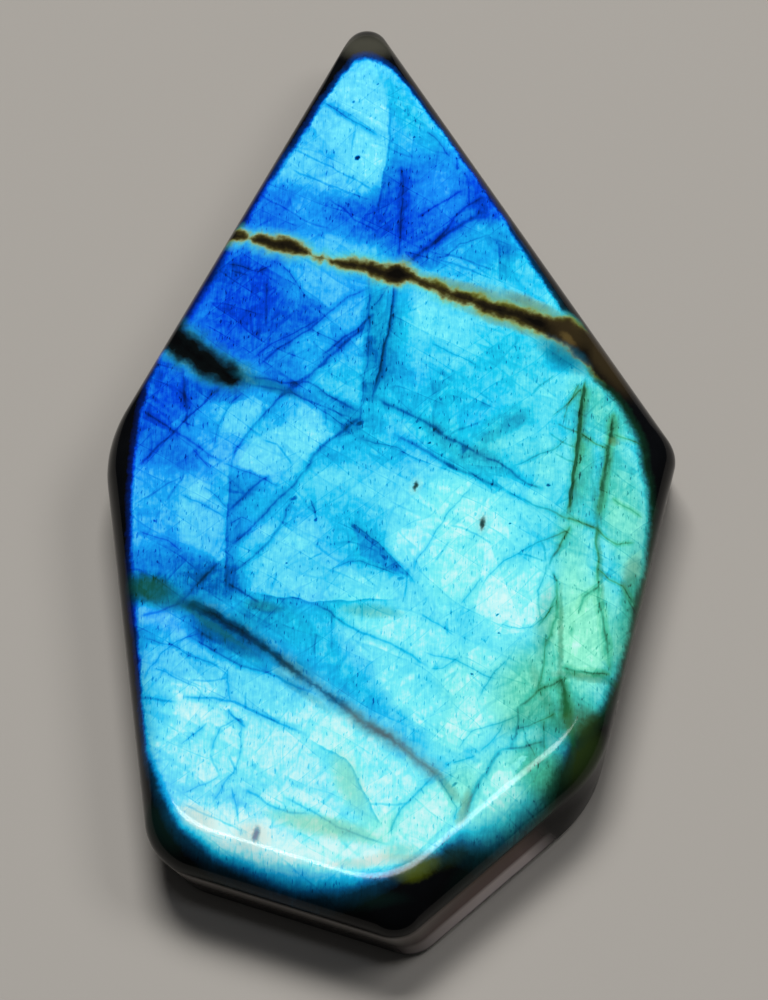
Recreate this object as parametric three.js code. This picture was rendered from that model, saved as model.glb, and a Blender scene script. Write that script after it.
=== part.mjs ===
// A polished labradorite: one free-form cabochon with six straight sides, a flat back,
// a rounded shoulder all the way around and a nearly flat, polished top.
// Sizes are in millimetres. +Z points up out of the polished top, +Y runs along the stone
// towards its pointed end, and the origin is on the flat back, midway along and across it.

import * as THREE from 'three';

// The six corners, anticlockwise as seen from above.
//   x, y          where the two straight sides beside the corner would meet at the girdle
//   girdleRadius  how round the corner is at the girdle, the widest line around the stone
//   topRadius     how round it is where the shoulder meets the flat top
//   run           how far the shoulder leans in, along the side from here to the next corner
//   undercut      how far that side's lower wall leans in, from the girdle to the back, or out where it is below 0
const corners = {
  tip: { x: -1.37, y: 26.42, girdleRadius: 1.0, topRadius: 2.8, run: 0.62, undercut: 0.9 },
  leftShoulder: { x: -14.6, y: 0.38, girdleRadius: 6.5, topRadius: 6.0, run: 1.25, undercut: 0.9 },
  lowerLeft: { x: -11.8, y: -21.86, girdleRadius: 3.2, topRadius: 4.2, run: 2.2, undercut: 0.15 },
  bottom: { x: 0.45, y: -25.95, girdleRadius: 1.8, topRadius: 4.2, run: 2.5, undercut: -0.55 },
  lowerRight: { x: 10.22, y: -17.1, girdleRadius: 7.0, topRadius: 7.0, run: 1.6, undercut: 0.1 },
  rightShoulder: { x: 14.47, y: 0.15, girdleRadius: 1.8, topRadius: 4.0, run: 1.3, undercut: 0.15 },
};

// Heights above the flat back.
const girdleHeight = 2.3;
const shoulderHeight = 3.95;
const crownRise = 0.25;
const backBevel = 0.3;

// The shoulder turns from upright at the girdle to almost level at the top.
const shoulderTurn = THREE.MathUtils.degToRad(89);

// How finely the surface is faceted.
const stepsPerCorner = 8;
const stepsPerSide = 3;
const shoulderRings = 14;
const crownRings = 6;

const cornerList = Object.values(corners);
const cornerCount = cornerList.length;

const wrap = (index) => (index + cornerCount) % cornerCount;

// Side i runs from corner i to the next one. Its normal points into the stone.
function sideLines() {
  return cornerList.map((corner, i) => {
    const start = new THREE.Vector2(corner.x, corner.y);
    const next = cornerList[wrap(i + 1)];
    const along = new THREE.Vector2(next.x, next.y).sub(start).normalize();
    const inward = new THREE.Vector2(-along.y, along.x);
    return { inward, reach: inward.dot(start) };
  });
}

// The corners of the outline whose side i is moved inward by insets[i].
function insetCorners(insets) {
  const lines = sideLines();
  return lines.map((line, i) => {
    const before = lines[wrap(i - 1)];
    const reachBefore = before.reach + insets[wrap(i - 1)];
    const reachAfter = line.reach + insets[i];
    const spread = before.inward.cross(line.inward);
    return new THREE.Vector2(
      (reachBefore * line.inward.y - reachAfter * before.inward.y) / spread,
      (reachAfter * before.inward.x - reachBefore * line.inward.x) / spread,
    );
  });
}

// The arc that rounds corner i, with its centre, radius and first and last direction.
function cornerArc(points, radii, i) {
  const corner = points[i];
  const toBefore = points[wrap(i - 1)].clone().sub(corner).normalize();
  const toAfter = points[wrap(i + 1)].clone().sub(corner).normalize();
  const halfAngle = Math.acos(toBefore.dot(toAfter)) / 2;
  const middle = toBefore.clone().add(toAfter).normalize();
  const centre = corner.clone().addScaledVector(middle, radii[i] / Math.sin(halfAngle));
  const turn = Math.PI - 2 * halfAngle;
  const first = Math.atan2(-middle.y, -middle.x) - turn / 2;
  return { centre, radius: radii[i], first, turn };
}

function pointOnArc(arc, share) {
  const angle = arc.first + arc.turn * share;
  return new THREE.Vector2(
    arc.centre.x + arc.radius * Math.cos(angle),
    arc.centre.y + arc.radius * Math.sin(angle),
  );
}

// A closed outline of six straight sides joined by arcs, always with the same number of points,
// so that point k of one outline lies straight inside point k of another.
function roundedOutline(insets, radii) {
  const points = insetCorners(insets);
  const arcs = points.map((point, i) => cornerArc(points, radii, i));
  const outline = [];
  arcs.forEach((arc, i) => {
    for (let step = 0; step <= stepsPerCorner; step += 1) {
      outline.push(pointOnArc(arc, step / stepsPerCorner));
    }
    const sideStart = pointOnArc(arc, 1);
    const sideEnd = pointOnArc(arcs[wrap(i + 1)], 0);
    for (let step = 1; step < stepsPerSide; step += 1) {
      outline.push(sideStart.clone().lerp(sideEnd, step / stepsPerSide));
    }
  });
  return outline;
}

const atHeight = (outline, height) =>
  outline.map((point) => new THREE.Vector3(point.x, point.y, height));

const shoulderRise = (angle) => (shoulderHeight - girdleHeight) * Math.sin(angle);

// The height of the flat top, where share goes from 0 at its edge to 1 at its middle.
const crownHeight = (share) =>
  girdleHeight + shoulderRise(shoulderTurn) + crownRise * (1 - (1 - share) ** 2);

// Rings of points from the edge of the flat back, over the girdle and the shoulder,
// to the last ring around the middle of the top.
function surfaceRings() {
  const girdleRadii = cornerList.map((corner) => corner.girdleRadius);
  const topRadii = cornerList.map((corner) => corner.topRadius);
  const runs = cornerList.map((corner) => corner.run);
  const undercuts = cornerList.map((corner) => corner.undercut);
  const girdle = roundedOutline(cornerList.map(() => 0), girdleRadii);
  const top = roundedOutline(runs, topRadii);
  const wallFoot = roundedOutline(undercuts, girdleRadii);
  const back = roundedOutline(undercuts.map((inset) => inset + backBevel), girdleRadii);

  const rings = [atHeight(back, 0), atHeight(wallFoot, backBevel)];
  for (let ring = 0; ring <= shoulderRings; ring += 1) {
    const angle = (shoulderTurn * ring) / shoulderRings;
    const leaned = girdle.map((point, k) => point.clone().lerp(top[k], 1 - Math.cos(angle)));
    rings.push(atHeight(leaned, girdleHeight + shoulderRise(angle)));
  }
  const topEdge = rings[rings.length - 1];
  const crownTop = new THREE.Vector2(0, 0);
  for (let ring = 1; ring < crownRings; ring += 1) {
    const share = ring / crownRings;
    const drawnIn = topEdge.map((point) => new THREE.Vector2(point.x, point.y).lerp(crownTop, share));
    rings.push(atHeight(drawnIn, crownHeight(share)));
  }
  return rings;
}

// One closed skin: a fan over the flat back, bands between the rings and a fan over the middle.
function stoneGeometry() {
  const rings = surfaceRings();
  const around = rings[0].length;
  const vertices = rings.flat();
  const backMiddle = vertices.push(new THREE.Vector3(0, 0, 0)) - 1;
  const topMiddle = vertices.push(new THREE.Vector3(0, 0, crownHeight(1))) - 1;
  const lastRing = (rings.length - 1) * around;

  const triangles = [];
  for (let k = 0; k < around; k += 1) {
    const next = (k + 1) % around;
    triangles.push(backMiddle, next, k);
    for (let ring = 0; ring < rings.length - 1; ring += 1) {
      const low = ring * around;
      const high = low + around;
      triangles.push(low + k, low + next, high + next);
      triangles.push(low + k, high + next, high + k);
    }
    triangles.push(lastRing + k, lastRing + next, topMiddle);
  }

  const geometry = new THREE.BufferGeometry().setFromPoints(vertices);
  geometry.setIndex(triangles);
  geometry.computeBoundingBox();
  const middle = geometry.boundingBox.getCenter(new THREE.Vector3());
  geometry.translate(-middle.x, -middle.y, 0);
  geometry.computeVertexNormals();
  return geometry;
}

const polishedLabradorite = new THREE.MeshStandardMaterial({
  color: 0x2f9ed6,
  roughness: 0.12,
  metalness: 0.0,
});

const labradorite = new THREE.Mesh(stoneGeometry(), polishedLabradorite);
labradorite.name = 'labradorite';

const model = new THREE.Group();
model.add(labradorite);

export default model;
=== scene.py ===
"""A polished labradorite with a blue, cyan and green colour flash, on a plain pale floor.

Sizes are in metres in the scene and in millimetres where a name or a comment says so.
+Z points up out of the polished top, +Y runs along the stone towards its pointed end.
"""

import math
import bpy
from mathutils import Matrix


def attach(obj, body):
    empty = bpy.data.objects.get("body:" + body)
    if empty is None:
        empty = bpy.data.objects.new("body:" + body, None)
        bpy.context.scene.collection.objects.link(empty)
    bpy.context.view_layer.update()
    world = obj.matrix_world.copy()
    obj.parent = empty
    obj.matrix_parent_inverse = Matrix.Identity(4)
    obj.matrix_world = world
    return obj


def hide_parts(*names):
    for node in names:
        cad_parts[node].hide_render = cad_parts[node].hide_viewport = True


bl_info = {
    "name": "Polished labradorite",
    "version": (1, 0, 0),
    "blender": (4, 5, 0),
    "location": "View3D > Sidebar > Labradorite",
    "description": "Makes a polished labradorite with its colour flash, and the stage around it",
    "category": "Object",
}

import bpy
from mathutils import Vector

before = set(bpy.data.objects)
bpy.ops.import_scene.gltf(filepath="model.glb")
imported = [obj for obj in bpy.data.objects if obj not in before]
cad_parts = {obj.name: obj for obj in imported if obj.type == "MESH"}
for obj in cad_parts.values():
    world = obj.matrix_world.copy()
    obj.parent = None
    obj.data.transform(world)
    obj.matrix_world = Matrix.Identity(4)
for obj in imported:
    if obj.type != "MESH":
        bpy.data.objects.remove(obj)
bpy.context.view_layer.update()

MM = 0.001

# The six corners, anticlockwise as seen from above, in millimetres.
#   place           where the two straight sides beside the corner would meet at the girdle
#   girdle, top     how round the corner is at the girdle and where the shoulder meets the top
#   run, undercut   how far the side from here to the next corner leans in, above and below the girdle
CORNERS = {
    "tip": {"place": (-1.37, 26.42), "girdle": 1.0, "top": 2.8, "run": 0.62, "undercut": 0.9},
    "left shoulder": {"place": (-14.6, 0.38), "girdle": 6.5, "top": 6.0, "run": 1.25, "undercut": 0.9},
    "lower left": {"place": (-11.8, -21.86), "girdle": 3.2, "top": 4.2, "run": 2.2, "undercut": 0.15},
    "bottom": {"place": (0.45, -25.95), "girdle": 1.8, "top": 4.2, "run": 2.5, "undercut": -0.55},
    "lower right": {"place": (10.22, -17.1), "girdle": 7.0, "top": 7.0, "run": 1.6, "undercut": 0.1},
    "right shoulder": {"place": (14.47, 0.15), "girdle": 1.8, "top": 4.0, "run": 1.3, "undercut": 0.15},
}


def linear(red, green, blue):
    """A colour named by its 0 to 255 screen values, as the shader's own numbers."""
    shares = [value / 255 for value in (red, green, blue)]
    return tuple(s / 12.92 if s <= 0.04045 else ((s + 0.055) / 1.055) ** 2.4 for s in shares)


def length_property(name, description, millimetres):
    return bpy.props.FloatProperty(
        name=name,
        description=description,
        default=millimetres * MM,
        min=0.0,
        unit="LENGTH",
        subtype="DISTANCE",
    )


def colour_property(name, description, screen):
    return bpy.props.FloatVectorProperty(
        name=name,
        description=description,
        default=linear(*screen),
        size=3,
        min=0.0,
        max=1.0,
        subtype="COLOR",
    )


def power_property(name, description, watts):
    return bpy.props.FloatProperty(name=name, description=description, default=watts, min=0.0, unit="POWER")


class StoneSizes(bpy.types.PropertyGroup):
    girdle_height: length_property("Girdle height", "Height of the widest line around the stone", 2.3)
    shoulder_height: length_property("Shoulder height", "Height at which the rounded shoulder ends", 3.95)
    crown_rise: length_property("Crown rise", "How far the top swells above its edge", 0.25)
    back_bevel: length_property("Back bevel", "Width of the small bevel around the flat back", 0.3)
    shoulder_turn: bpy.props.FloatProperty(
        name="Shoulder turn",
        description="How far the shoulder turns from upright towards level",
        default=math.radians(89),
        min=math.radians(45),
        max=math.radians(90),
        subtype="ANGLE",
    )
    steps_per_corner: bpy.props.IntProperty(
        name="Steps per corner", description="Facets along each rounded corner", default=24, min=4, max=64
    )
    steps_per_side: bpy.props.IntProperty(
        name="Steps per side", description="Facets along each straight side", default=26, min=1, max=64
    )


class FlashColours(bpy.types.PropertyGroup):
    body: colour_property("Body", "The stone where it gives no flash", (7, 8, 10))
    blue_deep: colour_property("Deep blue", "The blue flash where it is weakest", (2, 68, 222))
    blue_full: colour_property("Blue", "The blue flash at its usual strength", (26, 152, 250))
    blue_pale: colour_property("Pale blue", "The blue flash where it is strongest", (104, 216, 255))
    cyan_deep: colour_property("Deep cyan", "The cyan flash where it is weakest", (2, 112, 176))
    cyan_full: colour_property("Cyan", "The cyan flash at its usual strength", (24, 206, 244))
    cyan_pale: colour_property("Pale cyan", "The cyan flash where it is strongest", (122, 244, 252))
    green_deep: colour_property("Deep green", "The green flash where it is weakest", (36, 100, 70))
    green_full: colour_property("Green", "The green flash at its usual strength", (78, 202, 168))
    green_pale: colour_property("Pale green", "The green flash where it is strongest", (152, 250, 214))
    white_flash: colour_property("White flash", "Any flash at its very brightest", (216, 255, 254))


class StageSettings(bpy.types.PropertyGroup):
    floor_colour: colour_property("Floor", "Colour of the plain floor", (168, 163, 156))
    key_power: power_property("Key light", "Power of the soft light above the far end", 36.0)
    overhead_power: power_property("Overhead light", "Power of the soft light overhead", 1.8)
    side_power: power_property("Side light", "Power of the soft light from the far right", 3.0)
    surround: bpy.props.FloatProperty(
        name="Surround", description="Brightness of the room all around", default=0.04, min=0.0
    )


class Value:
    """One socket of a node tree, which takes part in ordinary sums."""

    def __init__(self, recipe, socket):
        self.recipe = recipe
        self.socket = socket

    def __add__(self, other):
        return self.recipe.sum("ADD", self, other)

    def __sub__(self, other):
        return self.recipe.sum("SUBTRACT", self, other)

    def __rsub__(self, other):
        return self.recipe.sum("SUBTRACT", other, self)

    def __mul__(self, other):
        return self.recipe.sum("MULTIPLY", self, other)

    def __truediv__(self, other):
        return self.recipe.sum("DIVIDE", self, other)

    def __mod__(self, other):
        return self.recipe.sum("MODULO", self, other)

    def __pow__(self, other):
        return self.recipe.sum("POWER", self, other)

    def __abs__(self):
        return self.recipe.sum("ABSOLUTE", self)

    __radd__ = __add__
    __rmul__ = __mul__


class Recipe:
    """A node tree, written as sums on its sockets."""

    def __init__(self, tree):
        self.tree = tree
        self.made = 0

    def make(self, kind, settings=None, inputs=None):
        """Adds one node: its settings first, then the values or links of its sockets."""
        node = self.tree.nodes.new(kind)
        node.location = (220 * (self.made % 24), -320 * (self.made // 24))
        self.made += 1
        for name, value in (settings or {}).items():
            if name == "stops":
                fill_ramp(node.color_ramp, value)
            elif name == "points":
                fill_curve(node.mapping, value)
            else:
                setattr(node, name, value)
        for key, value in (inputs or {}).items():
            if isinstance(value, Value):
                self.tree.links.new(value.socket, node.inputs[key])
            else:
                node.inputs[key].default_value = value
        return node

    def out(self, kind, settings=None, inputs=None, output=0):
        """Adds one node and gives the value of one of its outputs."""
        return Value(self, self.make(kind, settings, inputs).outputs[output])

    def sum(self, operation, *terms):
        return self.out("ShaderNodeMath", {"operation": operation}, dict(enumerate(terms)))

    def clamped(self, value):
        return self.out("ShaderNodeClamp", None, {"Value": value})

    def climb(self, value, low, high):
        """Goes from 0 where the value is at low to 1 where it is at high."""
        return self.clamped((value - low) * (1 / (high - low)))

    def lesser(self, a, b):
        return self.sum("MINIMUM", a, b)

    def greater(self, a, b):
        return self.sum("MAXIMUM", a, b)

    def vector(self, operation, *terms, output=0):
        return self.out("ShaderNodeVectorMath", {"operation": operation}, dict(enumerate(terms)), output)

    def dot(self, a, b):
        return self.vector("DOT_PRODUCT", a, b, output="Value")

    def length(self, a):
        return self.vector("LENGTH", a, output="Value")

    def scaled(self, a, share):
        return self.out("ShaderNodeVectorMath", {"operation": "SCALE"}, {0: a, "Scale": share})

    def parts(self, a):
        """The x, y and z of a vector."""
        node = self.make("ShaderNodeSeparateXYZ", None, {"Vector": a})
        return [Value(self, node.outputs[name]) for name in "XYZ"]

    def blend(self, share, a, b, kind="FLOAT"):
        """Goes from a to b as share goes from 0 to 1."""
        first, second, output = {"FLOAT": (2, 3, 0), "VECTOR": (4, 5, 1), "RGBA": (6, 7, 2)}[kind]
        settings = {"data_type": kind, "clamp_factor": True}
        return self.out("ShaderNodeMix", settings, {0: share, first: a, second: b}, output)

    def curve(self, value, points):
        """Reads a value off straight stretches between points."""
        return self.out("ShaderNodeFloatCurve", {"points": points}, {"Value": value})

    def ramp(self, share, stops):
        """Reads a colour and its strength off stops between 0 and 1."""
        node = self.make("ShaderNodeValToRGB", {"stops": stops}, {"Fac": share})
        return Value(self, node.outputs["Color"]), Value(self, node.outputs["Alpha"])

    def noise(self, place, scale, detail, space="2D", output=0):
        inputs = {"Vector": place, "Scale": scale, "Detail": detail}
        return self.out("ShaderNodeTexNoise", {"noise_dimensions": space}, inputs, output)


SOCKETS = {"number": "NodeSocketFloat", "place": "NodeSocketVector", "colour": "NodeSocketColor"}


def layer(r, name, kinds, given, draw):
    """One layer of the finish in a node group of its own.

    kinds names what each given value is. The first is the place, and draw returns all the others, changed.
    """
    tree = bpy.data.node_groups.new(name, "ShaderNodeTree")
    labels = [f"{kind} {i}" for i, kind in enumerate(kinds)]
    for label, kind in zip(labels, kinds):
        tree.interface.new_socket(name=label, in_out="INPUT", socket_type=SOCKETS[kind])
    changed = len(kinds) - 1
    for label, kind in zip(labels[1:], kinds[1:]):
        tree.interface.new_socket(name=label, in_out="OUTPUT", socket_type=SOCKETS[kind])
    inner = Recipe(tree)
    start = inner.make("NodeGroupInput")
    results = draw(inner, *(Value(inner, start.outputs[i]) for i in range(len(kinds))))
    results = results if isinstance(results, tuple) else (results,)
    if len(results) != changed:
        raise RuntimeError(f"the layer {name} gives {len(results)} values, not {changed}")
    inner.make("NodeGroupOutput", None, dict(enumerate(results)))
    node = r.make("ShaderNodeGroup", {"node_tree": tree}, dict(enumerate(given)))
    values = tuple(Value(r, node.outputs[i]) for i in range(changed))
    return values if changed > 1 else values[0]


# More marks than this in one node group are too many for the renderer.
MARKS_IN_A_GROUP = 26


def batches(items):
    return [items[i : i + MARKS_IN_A_GROUP] for i in range(0, len(items), MARKS_IN_A_GROUP)]


def fill_ramp(ramp, stops):
    """Sets a colour ramp's stops, each a position and a colour of three or four numbers."""
    for _ in stops[2:]:
        ramp.elements.new(0.5)
    for element, (position, colour) in zip(ramp.elements, stops):
        element.position = position
        element.color = tuple(colour) if len(colour) == 4 else (*colour, 1.0)


def fill_curve(mapping, points):
    """Sets a curve's points, as straight stretches between them."""
    mapping.use_clip = False
    mapping.extend = "HORIZONTAL"
    curve = mapping.curves[0]
    for _ in points[2:]:
        curve.points.new(0.5, 0.5)
    for point, place in zip(curve.points, points):
        point.location = place
        point.handle_type = "VECTOR"
    mapping.update()


# The stone's shape

OUTLINE_ATTRIBUTE = "corner_radius"
BAKE_MAP = "OFBake"


def inset_corners(insets):
    """The corners of the outline whose side i is moved inward by insets[i]."""
    places = [Vector(corner["place"]) for corner in CORNERS.values()]
    count = len(places)
    lines = []
    for i in range(count):
        along = (places[(i + 1) % count] - places[i]).normalized()
        inward = Vector((-along.y, along.x))
        lines.append((inward, inward.dot(places[i]) + insets[i]))
    moved = []
    for i in range(count):
        before, reach_before = lines[i - 1]
        after, reach_after = lines[i]
        spread = before.x * after.y - before.y * after.x
        moved.append(
            Vector(
                (
                    (reach_before * after.y - reach_after * before.y) / spread,
                    (reach_after * before.x - reach_before * after.x) / spread,
                )
            )
        )
    return moved


def outline_mesh(sizes):
    """Four closed loops of six corners: the back's edge, the wall's foot, the girdle and the top's edge."""
    corners = list(CORNERS.values())
    bevel = sizes.back_bevel / MM
    undercuts = [corner["undercut"] for corner in corners]
    levels = [
        ([inset + bevel for inset in undercuts], "girdle"),
        (undercuts, "girdle"),
        ([0.0] * len(corners), "girdle"),
        ([corner["run"] for corner in corners], "top"),
    ]
    points, edges, radii = [], [], []
    for insets, radius_name in levels:
        first = len(points)
        loop = inset_corners(insets)
        points += [(point.x * MM, point.y * MM, 0.0) for point in loop]
        edges += [(first + i, first + (i + 1) % len(loop)) for i in range(len(loop))]
        radii += [corner[radius_name] * MM for corner in corners]
    mesh = bpy.data.meshes.new("stone outlines")
    mesh.from_pydata(points, edges, [])
    radius = mesh.attributes.new(OUTLINE_ATTRIBUTE, "FLOAT", "POINT")
    radius.data.foreach_set("value", radii)
    return mesh


# How many rings the skin has on each part, from the middle of the back to the middle of the top.
BACK_RINGS = 3
BEVEL_RINGS = 5
SHOULDER_RINGS = 44
CROWN_RINGS = 30

# How far from the back's middle to its edge the inner of its rings lies.
INNER_BACK_RING = 0.985

# Points nearer to each other than this become one.
MERGE_DISTANCE = 0.001 * MM

# The bake map: how many metres it spans, where the top's middle lies in it, and how far beside it
# the back lies.
MAP_SPAN = 0.0685
MAP_MIDDLE = (0.28, 0.5, 0.0)
MAP_BACK_SHIFT = (0.0345, 0.0, 0.0)


def stone_tree():
    """A skin of rings laid over the four outlines, from the middle of the back to the middle of the top."""
    tree = bpy.data.node_groups.new("Stone over its outlines", "GeometryNodeTree")
    interface = tree.interface
    interface.new_socket(name="Outlines", in_out="INPUT", socket_type="NodeSocketGeometry")
    for name in ("Girdle height", "Shoulder height", "Crown rise", "Back bevel"):
        socket = interface.new_socket(name=name, in_out="INPUT", socket_type="NodeSocketFloat")
        socket.subtype = "DISTANCE"
    turn = interface.new_socket(name="Shoulder turn", in_out="INPUT", socket_type="NodeSocketFloat")
    turn.subtype = "ANGLE"
    for name in ("Steps per corner", "Steps per side"):
        interface.new_socket(name=name, in_out="INPUT", socket_type="NodeSocketInt")
    interface.new_socket(name="Finish", in_out="INPUT", socket_type="NodeSocketMaterial")
    interface.new_socket(name="Stone", in_out="OUTPUT", socket_type="NodeSocketGeometry")

    r = Recipe(tree)
    given = r.make("NodeGroupInput")
    value = {socket.name: Value(r, socket) for socket in given.outputs if socket.name}
    steps = value["Steps per corner"]

    curves = r.out("GeometryNodeMeshToCurve", None, {"Mesh": value["Outlines"]})
    radius = r.out("GeometryNodeInputNamedAttribute", {"data_type": "FLOAT"}, {"Name": OUTLINE_ATTRIBUTE})
    corners = {"Curve": curves, "Count": steps, "Radius": radius}
    rounded = r.out("GeometryNodeFilletCurve", {"mode": "POLY"}, corners)
    index = r.out("GeometryNodeInputIndex")
    last_of_arc = r.sum("COMPARE", index % (steps + 1), steps, 0.5)
    cuts = last_of_arc * (value["Steps per side"] - 1)
    outlines = r.out("GeometryNodeSubdivideCurve", None, {"Curve": rounded, "Cuts": cuts})
    points_in_all = r.out(
        "GeometryNodeAttributeDomainSize", {"component": "CURVE"}, {"Geometry": outlines}, "Point Count"
    )
    around = points_in_all / 4

    bevel_first = BACK_RINGS
    shoulder_first = bevel_first + BEVEL_RINGS + 1
    crown_first = shoulder_first + SHOULDER_RINGS
    rings = crown_first + CROWN_RINGS + 1
    grid = r.out(
        "GeometryNodeMeshGrid",
        None,
        {"Size X": 1.0, "Size Y": 1.0, "Vertices X": around + 1, "Vertices Y": rings},
    )
    ring = index % rings
    step = r.sum("FLOOR", (index - ring + 0.5) / rings) % around
    place = r.out("GeometryNodeInputPosition")

    def outline_at(level):
        return r.out(
            "GeometryNodeSampleIndex",
            {"data_type": "FLOAT_VECTOR", "domain": "POINT"},
            {"Geometry": outlines, "Value": place, "Index": step + around * level},
        )

    back, foot, girdle, top = [outline_at(level) for level in range(4)]

    def stretch(first, count):
        return r.clamped((ring - first) / count)

    bevel_turn = stretch(bevel_first, BEVEL_RINGS) * math.radians(90)
    shoulder_turn = stretch(shoulder_first, SHOULDER_RINGS) * value["Shoulder turn"]
    crown_share = stretch(crown_first, CROWN_RINGS)
    is_low = r.sum("LESS_THAN", ring, shoulder_first - 0.5)
    back_share = r.lesser(ring * INNER_BACK_RING, 1.0)

    low = r.scaled(r.blend(r.sum("SINE", bevel_turn), back, foot, "VECTOR"), back_share)
    leaned = r.blend(1 - r.sum("COSINE", shoulder_turn), girdle, top, "VECTOR")
    high = r.scaled(leaned, 1 - crown_share)
    flat_place = r.blend(is_low, high, low, "VECTOR")

    low_height = value["Back bevel"] * (1 - r.sum("COSINE", bevel_turn))
    shoulder_rise = (value["Shoulder height"] - value["Girdle height"]) * r.sum("SINE", shoulder_turn)
    crown_rise = value["Crown rise"] * (1 - (1 - crown_share) ** 2)
    high_height = value["Girdle height"] + shoulder_rise + crown_rise
    height = r.blend(is_low, high_height, low_height)
    rise = r.out("ShaderNodeCombineXYZ", None, {"Z": height})
    risen = r.vector("ADD", flat_place, rise)
    stone = r.out("GeometryNodeSetPosition", None, {"Geometry": grid, "Position": risen})

    # The bake map: the top seen from above with the shoulder and wall folded out around it,
    # and the back beside it.
    outward = r.vector("NORMALIZE", r.vector("SUBTRACT", girdle, top))
    leaning_part = r.length(r.vector("SUBTRACT", flat_place, top))
    folded_out = (leaning_part + value["Shoulder height"] - height) * 0.5
    is_side = r.sum("LESS_THAN", ring, crown_first + 0.5)
    unfolded = r.vector("ADD", top, r.scaled(outward, folded_out))
    top_side = r.blend(is_side, flat_place, unfolded, "VECTOR")
    is_back = r.sum("LESS_THAN", ring, bevel_first - 0.5)
    back_side = r.vector("MULTIPLY_ADD", flat_place, (-1.0, 1.0, 0.0), MAP_BACK_SHIFT)
    either_side = r.blend(is_back, top_side, back_side, "VECTOR")
    map_place = r.vector("MULTIPLY_ADD", either_side, (1 / MAP_SPAN, 1 / MAP_SPAN, 0.0), MAP_MIDDLE)
    mapped = r.out(
        "GeometryNodeStoreNamedAttribute",
        {"data_type": "FLOAT2", "domain": "CORNER"},
        {"Geometry": stone, "Name": BAKE_MAP, "Value": map_place},
    )

    joined = r.out("GeometryNodeMergeByDistance", None, {"Geometry": mapped, "Distance": MERGE_DISTANCE})
    box = r.make("GeometryNodeBoundBox", None, {"Geometry": joined})
    middle = r.blend(0.5, Value(r, box.outputs["Min"]), Value(r, box.outputs["Max"]), "VECTOR")
    across = r.vector("MULTIPLY", middle, (-1.0, -1.0, 0.0))
    centred = r.out("GeometryNodeSetPosition", None, {"Geometry": joined, "Offset": across})
    smooth = r.out("GeometryNodeSetShadeSmooth", None, {"Geometry": centred, "Shade Smooth": True})
    real = r.out("GeometryNodeRealizeInstances", None, {"Geometry": smooth})
    finished = r.out("GeometryNodeSetMaterial", None, {"Geometry": real, "Material": value["Finish"]})
    r.make("NodeGroupOutput", None, {0: finished})
    return tree


def stone_object(sizes, material):
    """The stone as one plain mesh, with its place in the mesh."""
    outlines = bpy.data.objects.new("stone outlines", outline_mesh(sizes))
    bpy.context.scene.collection.objects.link(outlines)
    tree = stone_tree()
    modifier = outlines.modifiers.new("stone", "NODES")
    modifier.node_group = tree
    sockets = [item for item in tree.interface.items_tree if item.in_out == "INPUT"]
    identifier = {socket.name: socket.identifier for socket in sockets}
    for key, size in sizes.bl_rna.properties.items():
        if size.name in identifier:
            modifier[identifier[size.name]] = getattr(sizes, key)
    modifier[identifier["Finish"]] = material
    bpy.context.view_layer.update()
    ready = outlines.evaluated_get(bpy.context.evaluated_depsgraph_get())
    mesh = bpy.data.meshes.new_from_object(ready)
    outlines.modifiers.clear()
    bpy.data.objects.remove(outlines)
    mesh.name = "polished stone"
    if not mesh.polygons:
        raise RuntimeError("the stone's outlines gave no skin")
    stone = bpy.data.objects.new("polished_stone", mesh)
    bpy.context.scene.collection.objects.link(stone)
    return stone


# The stone's finish
#
# All places are in millimetres on the stone seen from above, from its middle: x to the right and
# y towards the pointed end. Turns are in degrees. Light goes from 0, no flash, to 1, the strongest,
# and hue goes from 0, blue, over 0.5, cyan, to 1, green.

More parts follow.
